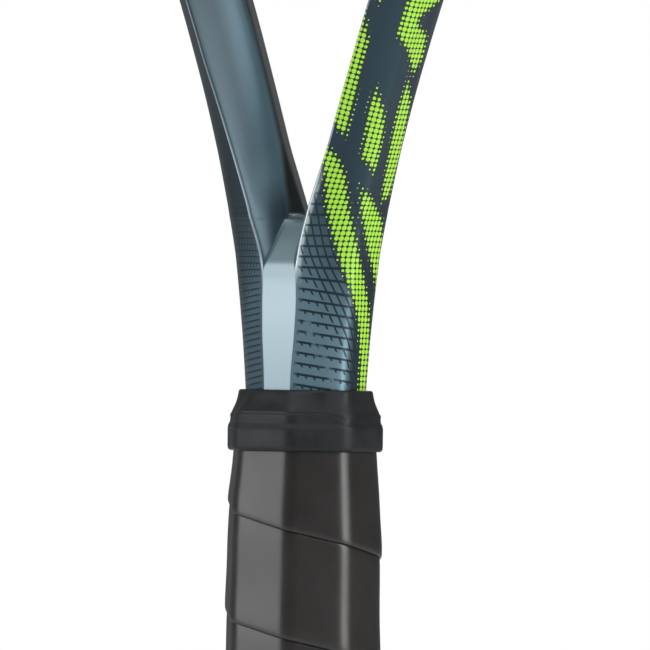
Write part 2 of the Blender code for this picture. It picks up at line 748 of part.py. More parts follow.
def make_door():
    """The door's side view, drawn along X. Its back edge curls round the pin and stays open at the top."""
    low, high = DOOR_Z
    pin = HINGE_PIN_RADIUS + PIN_CLEARANCE
    outline = [(DOOR_FRONT_Y, low + 0.3), (DOOR_FRONT_Y + 0.3, low)]
    outline += [(HINGE_Y + KNUCKLE_RADIUS * math.cos(math.radians(a)),
                 HINGE_Z + KNUCKLE_RADIUS * math.sin(math.radians(a))) for a in range(-90, 121, 30)]
    outline += [(HINGE_Y + pin * math.cos(math.radians(a)),
                 HINGE_Z + pin * math.sin(math.radians(a))) for a in range(120, -181, -30)]
    outline += [(HINGE_Y - pin - 0.5, high), (DOOR_FRONT_Y, high)]
    rings = [[(x, y, z) for y, z in outline] for x in (-DOOR_HALF_WIDTH, DOOR_HALF_WIDTH)]
    mesh_object("butt_cap_door", loft(rings), "cap_plastic", origin=(0.0, HINGE_Y, HINGE_Z))
    pin_bar = round_bar((-8.3, HINGE_Y, HINGE_Z), (8.3, HINGE_Y, HINGE_Z), HINGE_PIN_RADIUS, sides=12)
    mesh_object("door_hinge_pin", pin_bar, "steel")


def make_grip():
    outer = [octagon(inset, z) for z, inset in (
        (GRIP_BOTTOM_Z, CAP_FLARE + 0.5), (GRIP_BOTTOM_Z + 1.0, CAP_FLARE), (14.0, CAP_FLARE), (24.0, -1.7),
        (36.0, -0.9), (50.0, -0.25), (62.0, 0.0), (158.0, 0.0), (170.0, 0.6), (GRIP_TOP_Z, 1.2))]
    inner = [octagon(inset, z) for z, inset in (
        (GRIP_TOP_Z, PALLET_INSET - GAP), (CAP_TOP_Z + 2.5, PALLET_INSET - GAP),
        (CAP_TOP_Z + 0.6, CAP_OUTER_INSET - GAP), (GRIP_BOTTOM_Z, CAP_OUTER_INSET - GAP))]
    mesh_object("grip_wrap", sleeve(outer, inner), "grip_polyurethane")
    outer = [octagon(inset, z) for z, inset in ((181.9, 1.3), (185.0, 1.7), (188.0, 3.0))]
    inner = [octagon(inset, z) for z, inset in ((188.0, 3.5), (185.0, 2.3), (181.9, PALLET_INSET - GAP))]
    mesh_object("finishing_tape", sleeve(outer, inner), "tape")


def reach(outline, turn):
    """Distance from the axis to an outline in the direction turn."""
    far = 0.0
    for (x0, y0), (x1, y1) in zip(outline, outline[1:] + outline[:1]):
        dx, dy = x1 - x0, y1 - y0
        bottom = math.cos(turn) * dy - math.sin(turn) * dx
        if abs(bottom) < 1e-9:
            continue
        t = (math.sin(turn) * x0 - math.cos(turn) * y0) / bottom
        if -1e-6 <= t <= 1 + 1e-6:
            along = (x0 + dx * t) * math.cos(turn) + (y0 + dy * t) * math.sin(turn)
            far = max(far, along)
    return far


def shaft_outline(z):
    """The whole shaft's section, both legs together."""
    half = [(u, v) for u, v in shaft_station(z)["outside"]]
    front = half[1:]
    return [(u, v) for u, v in front[:-1]] + [(-u, v) for u, v in reversed(front[:-1])]


def collar_turns():
    """Directions from the axis to every corner of the octagon and of the shaft, and between them."""
    corners = [(x, y) for x, y, _ in octagon(1.0, 0.0)] + shaft_outline(195.0)
    turns = sorted({round(math.atan2(y, x), 2) for x, y in corners})
    turns = [turn for turn, after in zip(turns, turns[1:] + [turns[0] + 2 * math.pi]) if after - turn > 0.03]
    between_them = []
    for turn, after in zip(turns, turns[1:] + [turns[0] + 2 * math.pi]):
        if after - turn > 0.22:
            between_them.append((turn + after) / 2)
    return sorted(turns + between_them)


def collar_ring(z, inset, share, extra):
    """A ring between the handle's octagon (share 0) and the shaft's outline (share 1), moved out by extra."""
    eight = [(x, y) for x, y, _ in octagon(inset, z)]
    shaft = shaft_outline(max(z, 191.0))
    ring = []
    for turn in collar_turns():
        wide, slim = reach(eight, turn), reach(shaft, turn)
        radius = wide + (slim - wide) * share + extra
        ring.append((radius * math.cos(turn), radius * math.sin(turn), z))
    return ring


def make_collar():
    """The rubber collar: straight over the end of the grip, then a cone down to a lip round the shaft."""
    outer = [collar_ring(*row) for row in (
        (COLLAR_BOTTOM_Z, 0.35, 0.0, 0.0), (178.8, 0.0, 0.0, 0.0), (182.5, 0.05, 0.0, 0.05),
        (184.6, 0.2, 0.1, 0.0), (188.2, 0.9, 0.35, 0.0), (191.2, 1.0, 0.8, 0.7), (COLLAR_TOP_Z, 1.0, 1.0, 1.2))]
    inner = [collar_ring(*row) for row in (
        (COLLAR_TOP_Z, 1.0, 1.0, COLLAR_LIP_GAP), (190.6, 1.0, 1.0, COLLAR_LIP_GAP), (188.6, 2.1, 0.3, 0.2),
        (184.6, 1.1, 0.0, 0.0), (182.4, 0.75, 0.0, 0.0), (COLLAR_BOTTOM_Z, 0.65, 0.0, 0.0))]
    mesh_object("grip_collar", sleeve(outer, inner), "collar_rubber", smooth=True)


def make_weights():
    """Lead slugs in the two legs at the butt, which set the racket's balance."""
    outline = [(2.4, -1.2), (6.6, -4.9), (9.2, -1.2), (9.2, 1.2), (6.6, 4.9), (2.4, 1.2)]
    right = loft([[(x, y, z) for x, y in outline] for z in (9.0, 34.0)])
    mesh_object("balance_weight_right", right, "lead")
    mesh_object("balance_weight_left", mirrored(right), "lead")


def main():
    for old in list(bpy.data.objects):
        bpy.data.objects.remove(old)
    make_frame()
    make_bridge()
    make_grommets()
    make_strings()
    make_dampener()
    make_pallets()
    make_butt_cap()
    make_door()
    make_grip()
    make_collar()
    make_weights()


main()
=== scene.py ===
# %% [markdown]
# # A tennis racket, from its throat to its strings
#
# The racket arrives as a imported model: every piece is there with its true size, its place and its joint,
# but with plain surfaces. This lesson keeps that model as a fixed frame and builds the visible racket round
# it. The hollow carbon moulding, the wound grip band, the rubber collar and the woven strings are made
# again with their real detail. The small pieces keep their shape and get a better edge and a real finish.

import math

import bmesh
import bpy
import numpy as np
from mathutils import Euler, Matrix, Vector


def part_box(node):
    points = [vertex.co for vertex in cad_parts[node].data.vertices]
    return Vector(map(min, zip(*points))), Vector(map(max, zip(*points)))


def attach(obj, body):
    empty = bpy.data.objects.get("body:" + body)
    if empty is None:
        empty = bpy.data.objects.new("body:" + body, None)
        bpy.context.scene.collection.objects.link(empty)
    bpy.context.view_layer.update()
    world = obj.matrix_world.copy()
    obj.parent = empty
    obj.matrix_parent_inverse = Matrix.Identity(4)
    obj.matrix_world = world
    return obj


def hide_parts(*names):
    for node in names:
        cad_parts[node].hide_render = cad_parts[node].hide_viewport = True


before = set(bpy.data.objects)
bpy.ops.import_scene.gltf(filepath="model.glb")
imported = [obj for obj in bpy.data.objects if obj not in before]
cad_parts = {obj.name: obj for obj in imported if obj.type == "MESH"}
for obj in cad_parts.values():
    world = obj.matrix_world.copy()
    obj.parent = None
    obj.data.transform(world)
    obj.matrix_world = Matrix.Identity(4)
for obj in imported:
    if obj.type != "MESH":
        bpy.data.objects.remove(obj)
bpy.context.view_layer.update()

# %% [markdown]
# ## Small helpers
#
# Real sizes are easier to read in millimetres, so every length here is in millimetres and becomes metres
# only when a mesh is written. Colours are typed as the hex codes that a paint chart gives, and one function
# makes them linear.

# %% Units, colours and shader nodes
MM = 0.001                    # one millimetre in metres


def linear(hex_text, alpha=1.0):
    """An sRGB hex colour as the linear RGBA that a shader socket wants."""
    parts = [int(hex_text[i:i + 2], 16) / 255 for i in (0, 2, 4)]
    return [c / 12.92 if c <= 0.04045 else ((c + 0.055) / 1.055) ** 2.4 for c in parts] + [alpha]


def add(tree, kind, links=None, **settings):
    """Adds a shader node. links gives each input a value, or another node's output to read."""
    made = tree.nodes.new("ShaderNode" + kind)
    for name, value in settings.items():
        setattr(made, name, value)
    for key, value in (links or {}).items():
        if isinstance(value, bpy.types.NodeSocket):
            tree.links.new(value, made.inputs[key])
        else:
            made.inputs[key].default_value = value
    return made


def finish(name, **sockets):
    """A new material with one Principled shader. Returns the material, its tree and the shader."""
    made = bpy.data.materials.new(name)
    made.use_nodes = True
    tree = made.node_tree
    tree.nodes.clear()
    shader = add(tree, "BsdfPrincipled", {key.replace("_", " "): value for key, value in sockets.items()})
    output = add(tree, "OutputMaterial", {"Surface": shader.outputs["BSDF"]})
    output.location = (300, 0)
    return made, tree, shader


print("a mid grey, 808080, is", round(linear("808080")[0], 3), "as linear light")

# %% [markdown]
# Operators act on whatever is selected, so every step first picks its own object. The last helper here
# hands a finished piece over: it names it, smooths it, and says what it is made of and which body carries
# it.

# %% Picking, modifying and settling a piece
def deselect():
    if bpy.context.mode != "OBJECT":
        bpy.ops.object.mode_set(mode="OBJECT")
    bpy.ops.object.select_all(action="DESELECT")


def pick(obj):
    """Makes obj the only selected object, so that the next operator acts on it alone."""
    deselect()
    obj.select_set(True)
    bpy.context.view_layer.objects.active = obj


def modify(obj, kind, **settings):
    """Adds a modifier with these settings and applies it."""
    pick(obj)
    bpy.ops.object.modifier_add(type=kind)
    made = obj.modifiers[-1]
    for name, value in settings.items():
        setattr(made, name, value)
    bpy.ops.object.modifier_apply(modifier=made.name)


def settle(obj, name, material, body, nodes=(), angle=None):
    """Names a finished piece, puts its place into its mesh, and gives it its finish and its body."""
    pick(obj)
    bpy.ops.object.transform_apply(location=True, rotation=True, scale=True)
    if angle is None:
        bpy.ops.object.shade_smooth()
    else:
        bpy.ops.object.shade_smooth_by_angle(angle=math.radians(angle))
    obj.name = obj.data.name = name
    obj.data.materials.clear()
    obj.data.materials.append(material)
    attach(obj, body)
    if nodes:
        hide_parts(*nodes)
    print(name, len(obj.data.polygons), "faces")
    return obj

# %% [markdown]
# ## The camera and the studio
#
# The camera looks at the throat from the right of the face, level with it, through a very long lens, so
# that the racket hardly narrows with distance.

# %% Camera
VIEW_TURN = math.radians(38.0)
VIEW_HEIGHT_Z = 206.7
VIEW_SIDE = 4.15              # the middle of the picture lies this far to the right of the racket's axis
VIEW_WIDTH = 146.7
VIEW_DISTANCE = 3.0
VIEW_ROLL = math.radians(0.75)

to_camera = Vector((math.sin(VIEW_TURN), -math.cos(VIEW_TURN), 0.0))
to_right = Vector((math.cos(VIEW_TURN), math.sin(VIEW_TURN), 0.0))
deselect()
bpy.ops.object.camera_add()
camera = bpy.context.object
camera.name = "view_camera"
camera.data.sensor_width = 36.0
camera.data.lens = 36.0 * VIEW_DISTANCE / (VIEW_WIDTH * MM)
camera.data.clip_end = 50.0
aim = to_right * VIEW_SIDE * MM + Vector((0, 0, VIEW_HEIGHT_Z * MM))
camera.location = aim + to_camera * VIEW_DISTANCE
camera.rotation_euler = (
    Euler((math.pi / 2, 0, VIEW_TURN)).to_matrix() @ Matrix.Rotation(VIEW_ROLL, 3, "Z")
).to_euler()
bpy.context.scene.camera = camera
print("camera:", round(camera.data.lens), "mm lens,", VIEW_DISTANCE, "m away")

# %% [markdown]
# A soft box on each side of the face lights the facets, the right one brighter, and a narrow strip lamp
# beside it draws the thin edges of the grip and the arms. A lamp overhead lifts the ledges, and one behind
# parts the racket from the background.

# %% Floor, lamps and background
def lamp(name, turn, height, distance, size, power, tint):
    """An area lamp that looks at the throat from a compass turn, with 0 in front of the strings' face."""
    deselect()
    bpy.ops.object.light_add(type="AREA")
    made = bpy.context.object
    made.name = name
    made.data.shape = "RECTANGLE"
    made.data.size, made.data.size_y = size
    made.data.energy = power
    made.data.color = linear(tint)[:3]
    turn = math.radians(turn)
    target = Vector((0, 0, 0.25))
    made.location = Vector((math.sin(turn) * distance, -math.cos(turn) * distance, height))
    made.rotation_euler = (made.location - target).to_track_quat("Z", "Y").to_euler()
    made.visible_camera = False
    return made


lamp("soft_box_left", -40.0, 0.60, 1.6, (0.9, 1.3), 10.0, "FFFFFF")
lamp("soft_box_right", 86.0, 0.85, 1.7, (0.7, 1.9), 20.0, "FFFFFF")
lamp("strip_right", 104.0, 0.35, 1.3, (0.12, 1.5), 3.0, "FFF8F0")
lamp("overhead", 0.0, 1.9, 0.7, (1.2, 1.2), 9.0, "FFFFFF")
lamp("back_light", 205.0, 1.6, 1.4, (1.0, 1.0), 6.0, "FFFFFF")

deselect()
bpy.ops.mesh.primitive_circle_add(vertices=96, radius=1.4, fill_type="NGON", location=(0, 0, -0.0006))
floor = bpy.context.object
floor.name = "studio_floor"
floor_paint, tree, shader = finish("Pale_studio_floor", Base_Color=linear("F4F4F3"), Roughness=0.7)
floor.data.materials.append(floor_paint)

# The background is white to look at, but gives only a dim even light, so that dark paint keeps its depth.
world = bpy.data.worlds.new("studio")
bpy.context.scene.world = world
world.use_nodes = True
tree = world.node_tree
tree.nodes.clear()
seen = add(tree, "Background", {"Color": linear("FFFFFF"), "Strength": 1.0})
given = add(tree, "Background", {"Color": linear("F2F5F7"), "Strength": 0.22})
which = add(tree, "LightPath")
mixed = add(tree, "MixShader", {0: which.outputs["Is Camera Ray"], 1: given.outputs[0], 2: seen.outputs[0]})
add(tree, "OutputWorld", {"Surface": mixed.outputs[0]})
bpy.context.scene.view_settings.view_transform = "Standard"

# %% [markdown]
# ## The frame's line and its sections
#
# A racket frame is one carbon tube, bent into a hoop and brought together as a shaft. Its line is an
# ellipse for the hoop and a gentle S for each arm. Its section is not round: a flat face towards the
# strings or the throat, a sharp ridge where the inner and outer faces meet at the front and the back, and a
# rounded outer side. Each station along the line gives the corners of a quarter of that section, and the
# rest is its mirror image.

# %% The middle line
HEAD_MIDDLE_Z, HOOP_HALF_WIDTH, HOOP_HALF_HEIGHT = 501.5, 127.5, 176.5
JOIN_ANGLE = -52.0            # the arms leave the ellipse here, in degrees


def ellipse(angle):
    """x, z and lean of the hoop's line at this angle. The lean is 0 where the tube stands upright."""
    turn = math.radians(angle)
    x = 0.0 if angle >= 90 else HOOP_HALF_WIDTH * math.cos(turn)
    lean = math.atan2(-HOOP_HALF_WIDTH * math.sin(turn), HOOP_HALF_HEIGHT * math.cos(turn))
    return x, HEAD_MIDDLE_Z + HOOP_HALF_HEIGHT * math.sin(turn), lean


join_x, join_z, join_lean = ellipse(JOIN_ANGLE)
# x, z and slope of the right arm's middle line
ARM_LINE = [(7.05, 192.0, 0.03), (9.1, 216.0, 0.15), (12.1, 232.5, 0.235), (26.7, 280.0, 0.375),
            (join_x, join_z, math.tan(join_lean))]


def arm(z):
    """x and lean of the arm's line at height z, by cubic curves between the points above."""
    for (x0, z0, s0), (x1, z1, s1) in zip(ARM_LINE, ARM_LINE[1:]):
        if z <= z1 or z1 == join_z:
            break
    span = z1 - z0
    t = min(1.0, max(0.0, (z - z0) / span))
    x = ((2 * t**3 - 3 * t**2 + 1) * x0 + (t**3 - 2 * t**2 + t) * s0 * span
         + (3 * t**2 - 2 * t**3) * x1 + (t**3 - t**2) * s1 * span)
    slope = ((6 * t**2 - 6 * t) * x0 + (3 * t**2 - 4 * t + 1) * s0 * span
             + (6 * t - 6 * t**2) * x1 + (3 * t**2 - 2 * t) * s1 * span) / span
    return x, math.atan(slope)


print("the arms leave the hoop at x", round(join_x, 1), "z", round(join_z, 1), "mm")

# %% [markdown]
# The sizes of the section are kept in two short tables, one for the shaft and one for the arms. Between two
# rows the values run straight, and averaging over a few millimetres takes the kink out.

# %% Sizes of the sections
FORK_Z = 230.5                # the fork's floor, at its front and back edges
FORK_FILLET = 1.5             # height of the curve from the floor into the arms' inner sides
FORK_CROWN = 0.8              # the floor is higher in the middle
GROOVE = 2.0                  # the grommets' groove round the outside of the hoop

# Height, then: half depth, ridge x, outer x, shoulder in from the outer side, its depth, lip, web corner x
SHAFT_ROWS = np.array([
    (5.0, 8.2, 5.0, 12.0, 3.6, 6.2, 3.2, 2.2),
    (184.5, 8.2, 5.0, 12.0, 3.6, 6.2, 3.2, 2.2),
    (189.5, 10.5, 3.7, 13.9, 3.6, 7.9, 4.3, 3.45),
    (196.0, 10.5, 3.9, 14.4, 3.6, 7.95, 4.35, 3.6),
    (204.0, 10.35, 4.6, 15.1, 3.6, 8.0, 4.4, 4.3),
    (212.0, 10.15, 4.9, 16.0, 3.6, 8.05, 4.45, 4.6),
    (219.0, 10.3, 4.7, 16.9, 3.6, 8.1, 4.5, 4.4),
    (222.0, 10.6, 5.0, 17.3, 3.6, 8.1, 4.5, 4.0),
    (226.0, 10.9, 6.1, 18.1, 3.6, 8.15, 4.5, 3.6),
    (230.5, 11.2, 7.7, 19.1, 3.6, 8.2, 4.5, 3.35),
    (232.5, 11.2, 8.4, 19.6, 3.6, 8.2, 4.5, 3.35),
])
# Height, then from the middle line: inner, outer, ridge, half depth, inner face's half height, groove and
# shoulder.
# The inner side is flat at the fork and at the hoop, and comes to a blunt nose between them.
ARM_ROWS = np.array([
    (230.5, 8.3, 7.5, -3.9, 11.2, 4.1, 0.0, 8.0),
    (233.0, 8.2, 7.4, -3.7, 11.2, 3.5, 0.0, 8.0),
    (238.0, 7.8, 7.3, -3.0, 11.15, 2.7, 0.0, 8.05),
    (246.0, 7.2, 7.1, -1.9, 11.1, 1.7, 0.0, 8.1),
    (256.0, 7.1, 7.05, -1.2, 11.6, 1.5, 0.0, 8.2),
    (266.0, 7.0, 7.0, -0.6, 12.2, 1.4, 0.0, 8.3),
    (285.0, 7.0, 7.0, -0.3, 12.7, 1.4, 0.0, 8.45),
    (300.0, 6.8, 6.8, 0.1, 12.6, 2.2, 0.0, 8.6),
    (336.0, 6.2, 6.2, 0.6, 12.1, 4.6, 0.0, 8.95),
    (343.0, 6.0, 6.0, 0.6, 12.3, 4.7, GROOVE, 9.1),
    (362.0, 5.7, 5.7, 0.5, 12.6, 5.0, GROOVE, 9.35),
])
# The web between the arms is flush with the ridges below, and drops back to the fork
WEB_DEPTH = [(192.0, 11.0), (218.5, 10.6), (220.5, 10.0), (222.5, 8.9), (226.0, 6.95), (228.4, 5.5),
             (229.4, 4.85), (230.5, 4.1)]
FLOOR_EDGE = 2.9              # the floor starts this far from the middle; the web rounds over to it


def read(rows, z, soften=0.0):
    """The rows' values at height z. soften averages over that many millimetres, and rounds off their kinks."""
    at = z + np.linspace(-soften, soften, 9)
    return [float(np.mean(np.interp(at, rows[:, 0], rows[:, column]))) for column in range(1, rows.shape[1])]


print("the shaft is", round(2 * read(SHAFT_ROWS, 204.0)[0], 1), "mm thick above the collar")

# %% [markdown]
# Each section is a quarter outline of eight corners. The same eight are kept all the way from the butt to
# the tip, so that the skin's rows match, and the fork grows out of the shaft without a seam.

# %% Corners of the sections
def shaft_section(z):
    """A quarter of the section below the fork: corners as (x, depth), from the middle to the outer side."""
    half, ridge, outer, inward, shoulder, lip, web = read(SHAFT_ROWS, z, 1.5 if z > 191 else 0.0)
    depth = float(np.interp(z, *zip(*WEB_DEPTH))) if z > 191 else half
    depth = min(depth, half)
    rounding_over = max(0.0, 1 - (FORK_Z - z) / 2.4) if z > 191 else 0.0
    middle = depth - (4.1 - FLOOR_EDGE) * rounding_over**2
    corners = [(0.0, 0.0), (0.0, middle), (min(web, ridge - 0.25), depth), (ridge, half),
               (outer - inward, shoulder), (outer, lip), (outer, 1.7), (outer, 0.0)]
    return (0.0, z, 0.0), corners


def arm_section(z):
    inner, outer, ridge, half, face, groove, shoulder = read(ARM_ROWS, z, 3.0 if z > 240 else 0.8)
    x, lean = arm(z)
    lean *= min(1.0, max(0.0, (z - 231.0) / 19.0))
    fade = max(0.0, 1 - (z - FORK_Z) / 40.0)
    corners = tube_corners(inner, outer, ridge, half, face, groove, shoulder, fade)
    corners[1] = (-inner, face * (0.5 - 0.4 * min(1.0, max(0.0, (z - 232.0) / 12.0))))
    rise = (z - FORK_Z) / FORK_FILLET
    if rise < 1:  # the floor runs from the middle plane to the arm's inner side, and curves up into it
        share = (1 - (1 - rise) ** 3) ** (1 / 3)
        floor_u = -x + share * (x - inner)
        corners[0] = (floor_u, 0.0)
        corners[1] = (floor_u, FLOOR_EDGE + share * (face / 2 - FLOOR_EDGE))
    return (x, z, lean), corners


def tube_corners(inner, outer, ridge, half, face, groove, shoulder, like_shaft=0.0):
    """A quarter of the tube's section. like_shaft brings the shoulder to where the shaft has it."""
    shoulder_at = (outer - 2.6 - like_shaft, shoulder + 0.2 * like_shaft)
    return [(-inner, 0.0), (-inner, face * 0.5), (-inner, face), (ridge, half), shoulder_at,
            (outer, 4.5), (outer - groove, 1.7), (outer - groove, 0.0)]


def hoop_section(angle):
    high = max(0.0, math.sin(math.radians(angle)))
    half = (25.6 - 2.6 * high**2) / 2
    return ellipse(angle), tube_corners(5.7, 5.7, 0.5, half, 5.0, GROOVE, half * 0.74)


print("corners of a quarter section:", len(hoop_section(0.0)[1]))

# %% [markdown]
# ## From sections to a skin
#
# A mould rounds every corner of the tube a little, by about 1 mm on the ridges and more on the shoulders.
# So each corner of a section becomes a short curve, and each flat side gets a few points. A plain grid is
# added, and its rows are laid over the sections like a bandage. The quarter is then mirrored twice, with
# the joins merged.

# %% Rounded sections
SIDE_POINTS = [1, 1, 5, 4, 4, 2, 1]           # points inside each flat side
CORNER_STEPS = (0.0, 0.25, 0.5, 0.75, 1.0)    # places along the curve that rounds a corner


def rounded(corners, rounding):
    """The section's points, each inner corner as a curve of five, and the ridge's place among them."""
    chain = [np.array(corner, float) for corner in corners]
    curves = [[chain[0]]]
    for k in range(1, len(chain) - 1):
        before, corner, after = chain[k - 1], chain[k], chain[k + 1]
        sides = [np.linalg.norm(before - corner), np.linalg.norm(after - corner)]
        sizes = [min(rounding[k - 1], 0.45 * side) for side in sides]
        start = corner + (before - corner) * (sizes[0] / max(sides[0], 1e-6))
        end = corner + (after - corner) * (sizes[1] / max(sides[1], 1e-6))
        curves.append([(1 - t)**2 * start + 2 * t * (1 - t) * corner + t**2 * end for t in CORNER_STEPS])
    curves.append([chain[-1]])
    points, ridge = [], 0
    for k, curve in enumerate(curves):
        if k:
            last, first, extra = curves[k - 1][-1], curve[0], SIDE_POINTS[k - 1]
            points += [last + (first - last) * (n + 1) / (extra + 1) for n in range(extra)]
        if k == 3:
            ridge = len(points) + 2
        points += curve
    return np.array(points), ridge


def rows_of(sections, rounding_at):
    """Each section as points in space, in mm, and how far each point lies from the ridge along the skin."""
    rows, from_ridge = [], []
    for (x, z, lean), corners in sections:
        points, ridge = rounded(corners, rounding_at(z))
        steps = np.linalg.norm(np.diff(points, axis=0), axis=1)
        run = np.concatenate([[0.0], np.cumsum(steps)])
        from_ridge.append(run - run[ridge])
        u, v = points[:, 0], points[:, 1]
        rows.append(np.stack([x + u * math.cos(lean), -v, z - u * math.sin(lean)], axis=1))
    return np.array(rows), np.array(from_ridge)


def skin(name, rows):
    """A grid primitive laid over rows of points."""
    count, across = rows.shape[:2]
    deselect()
    bpy.ops.mesh.primitive_grid_add(x_subdivisions=across - 1, y_subdivisions=count - 1, size=1.0)
    made = bpy.context.object
    made.name = name
    at = np.zeros(len(made.data.vertices) * 3, np.float32)
    made.data.vertices.foreach_get("co", at)
    at = at.reshape(-1, 3)
    column = np.rint((at[:, 0] + 0.5) * (across - 1)).astype(int)
    row = np.rint((at[:, 1] + 0.5) * (count - 1)).astype(int)
    made.data.vertices.foreach_set("co", (rows[row, column] * MM).astype(np.float32).ravel())
    return made, row, column


def store(obj, name, values):
    """Writes three numbers per vertex, which a material can read by this name."""
    layer = obj.data.attributes.new(name, "FLOAT_VECTOR", "POINT")
    layer.data.foreach_set("vector", np.asarray(values, np.float32).ravel())


print("points along a quarter section:", 2 + 6 * len(CORNER_STEPS) + sum(SIDE_POINTS))

# %% [markdown]
# The rows lie closest together at the fork, where the shape changes fastest, and wide apart inside the
# handle, where nobody looks.

# %% The frame's sections, from the butt to the tip
def frame_rounding(z):
    """Reach of the curve at the inner face's middle and corner, the ridge, shoulder, lip and groove."""
    soft = min(1.0, max(0.0, (z - 231.0) / 14.0))
    return [0.0 if z < 232 else 0.3, 0.4 + 2.0 * soft, 0.75, 2.4, 1.8, 0.5]


heights = [5.0, 60.0, 120.0, 170.0, 184.5, 187.0, 189.5]
heights += list(np.arange(191.0, 217.0, 2.0)) + list(np.arange(217.0, 228.0, 0.9))
heights += [228.1, 228.6, 229.0, 229.4, 229.7, 230.0, 230.2, 230.4]
sections = [shaft_section(z) for z in heights]
fork_rows = [0.0, 0.003, 0.02, 0.06, 0.14, 0.27, 0.48, 0.78, 1.1, 1.5, 2.1, 2.8, 3.7, 4.7, 5.8, 7.1, 8.5, 10.0]
arm_heights = [FORK_Z + step for step in fork_rows] + list(np.arange(242.0, 345.0, 1.8))
arm_heights += list(np.arange(345.5, join_z - 1.0, 3.0))
sections += [arm_section(z) for z in arm_heights]
sections += [hoop_section(angle) for angle in np.linspace(JOIN_ANGLE, 90.0, 120)]
rows, from_ridge = rows_of(sections, frame_rounding)
# The floor's crown: the inner face's points near the fork rise towards the middle of the depth
near_fork = np.clip(1 - np.abs(rows[:, :, 2] - FORK_Z) / 4.0, 0, 1)
near_fork *= np.clip(1 - (rows[:, :, 1] / 3.2) ** 2, 0, 1)
rows[:, :, 2] += FORK_CROWN * near_fork * (rows[:, :, 0] < 3.6) * (rows[:, :, 2] >= FORK_Z - 1e-6)
middle = np.array([place[:2] for place, _ in sections])
middle[:len(heights), 0] = [arm(max(z, 192.0))[0] for z in heights]
along = np.concatenate([[0.0], np.cumsum(np.linalg.norm(np.diff(middle, axis=0), axis=1))])
along -= along[heights.index(191.0)]
print("frame skin:", rows.shape[0], "rows of", rows.shape[1], "points")

# %% [markdown]
# A quarter skin has open edges in both mirror planes. Where the two legs are one tube, a few faces lie in
# the plane itself and go. Then one Mirror modifier on both axes closes the tube, and the normals are made
# to agree.

# %% Lay the skin and mirror it
def edge_loops_closed(obj):
    """Fills any open edge loop and makes the faces point outwards."""
    pick(obj)
    bpy.ops.object.mode_set(mode="EDIT")
    bpy.ops.mesh.select_all(action="SELECT")
    bpy.ops.mesh.remove_doubles(threshold=0.000004)
    bpy.ops.mesh.select_all(action="DESELECT")
    bpy.ops.mesh.select_mode(type="EDGE")
    bpy.ops.mesh.select_non_manifold(extend=False)
    if any(edge.select for edge in bmesh.from_edit_mesh(obj.data).edges):
        bpy.ops.mesh.edge_face_add()
    bpy.ops.mesh.select_mode(type="VERT")
    bpy.ops.mesh.select_all(action="SELECT")
    bpy.ops.mesh.normals_make_consistent(inside=False)
    bpy.ops.object.mode_set(mode="OBJECT")


def drop_middle_faces(obj, below):
    """Deletes the faces that lie in the mirror's plane, where the two legs are one tube."""
    pick(obj)
    bpy.ops.object.mode_set(mode="EDIT")
    bpy.ops.mesh.select_all(action="DESELECT")
    bpy.ops.mesh.select_mode(type="FACE")
    mesh = bmesh.from_edit_mesh(obj.data)
    for face in mesh.faces:
        face.select = all(abs(v.co.x) < 1e-6 and v.co.z < below for v in face.verts)
    bmesh.update_edit_mesh(obj.data)
    bpy.ops.mesh.delete(type="FACE")
    bpy.ops.object.mode_set(mode="OBJECT")


racket, row_of, column_of = skin("racket_frame", rows)
store(racket, "rung", np.stack([row_of, column_of, 0 * row_of], axis=1))
drop_middle_faces(racket, (FORK_Z + 0.005) * MM)
modify(racket, "MIRROR", use_axis=(True, True, False), use_mirror_merge=True, merge_threshold=0.000004)
edge_loops_closed(racket)
print("frame:", len(racket.data.vertices), "points")

# %% [markdown]
# ## Where the paint lies
#
# The decals of a racket are printed flat and wrapped round the moulding, so their natural coordinates are
# lengths along the tube and round it. Both are stored on the mesh. `along` starts at the collar and
# `around` starts at the front ridge and grows outwards, over the outer side, to the back ridge. The two
# arms are the same when the racket is turned round, so the right arm's front matches the left arm's back.

# %% Lengths along and round the tube
values = np.zeros(len(racket.data.vertices) * 3, np.float32)
racket.data.attributes["rung"].data.foreach_get("vector", values)
rung = np.rint(values.reshape(-1, 3)).astype(int)
place = np.zeros(len(racket.data.vertices) * 3, np.float32)
racket.data.vertices.foreach_get("co", place)
place = place.reshape(-1, 3) / MM
from_front = from_ridge[rung[:, 0], rung[:, 1]]
outside = from_ridge[rung[:, 0], -1]
far_side = place[:, 0] * place[:, 1] > 0
around = np.where(far_side, 2 * outside - from_front, from_front)
length = along[rung[:, 0]]
racket.data.attributes.remove(racket.data.attributes["rung"])
print("paint reaches from", round(length.min()), "to", round(length.max()), "mm along each half")

# %% [markdown]
# ## The stripes
#
# The green stripes are halftone: rows of round dots that shrink towards a stripe's edge. Each stripe is an
# outline of a few points, given as length along the tube and length round it. What the material needs is
# how deep each point of the skin lies inside the nearest stripe, and from that it sets the size of each
# dot.

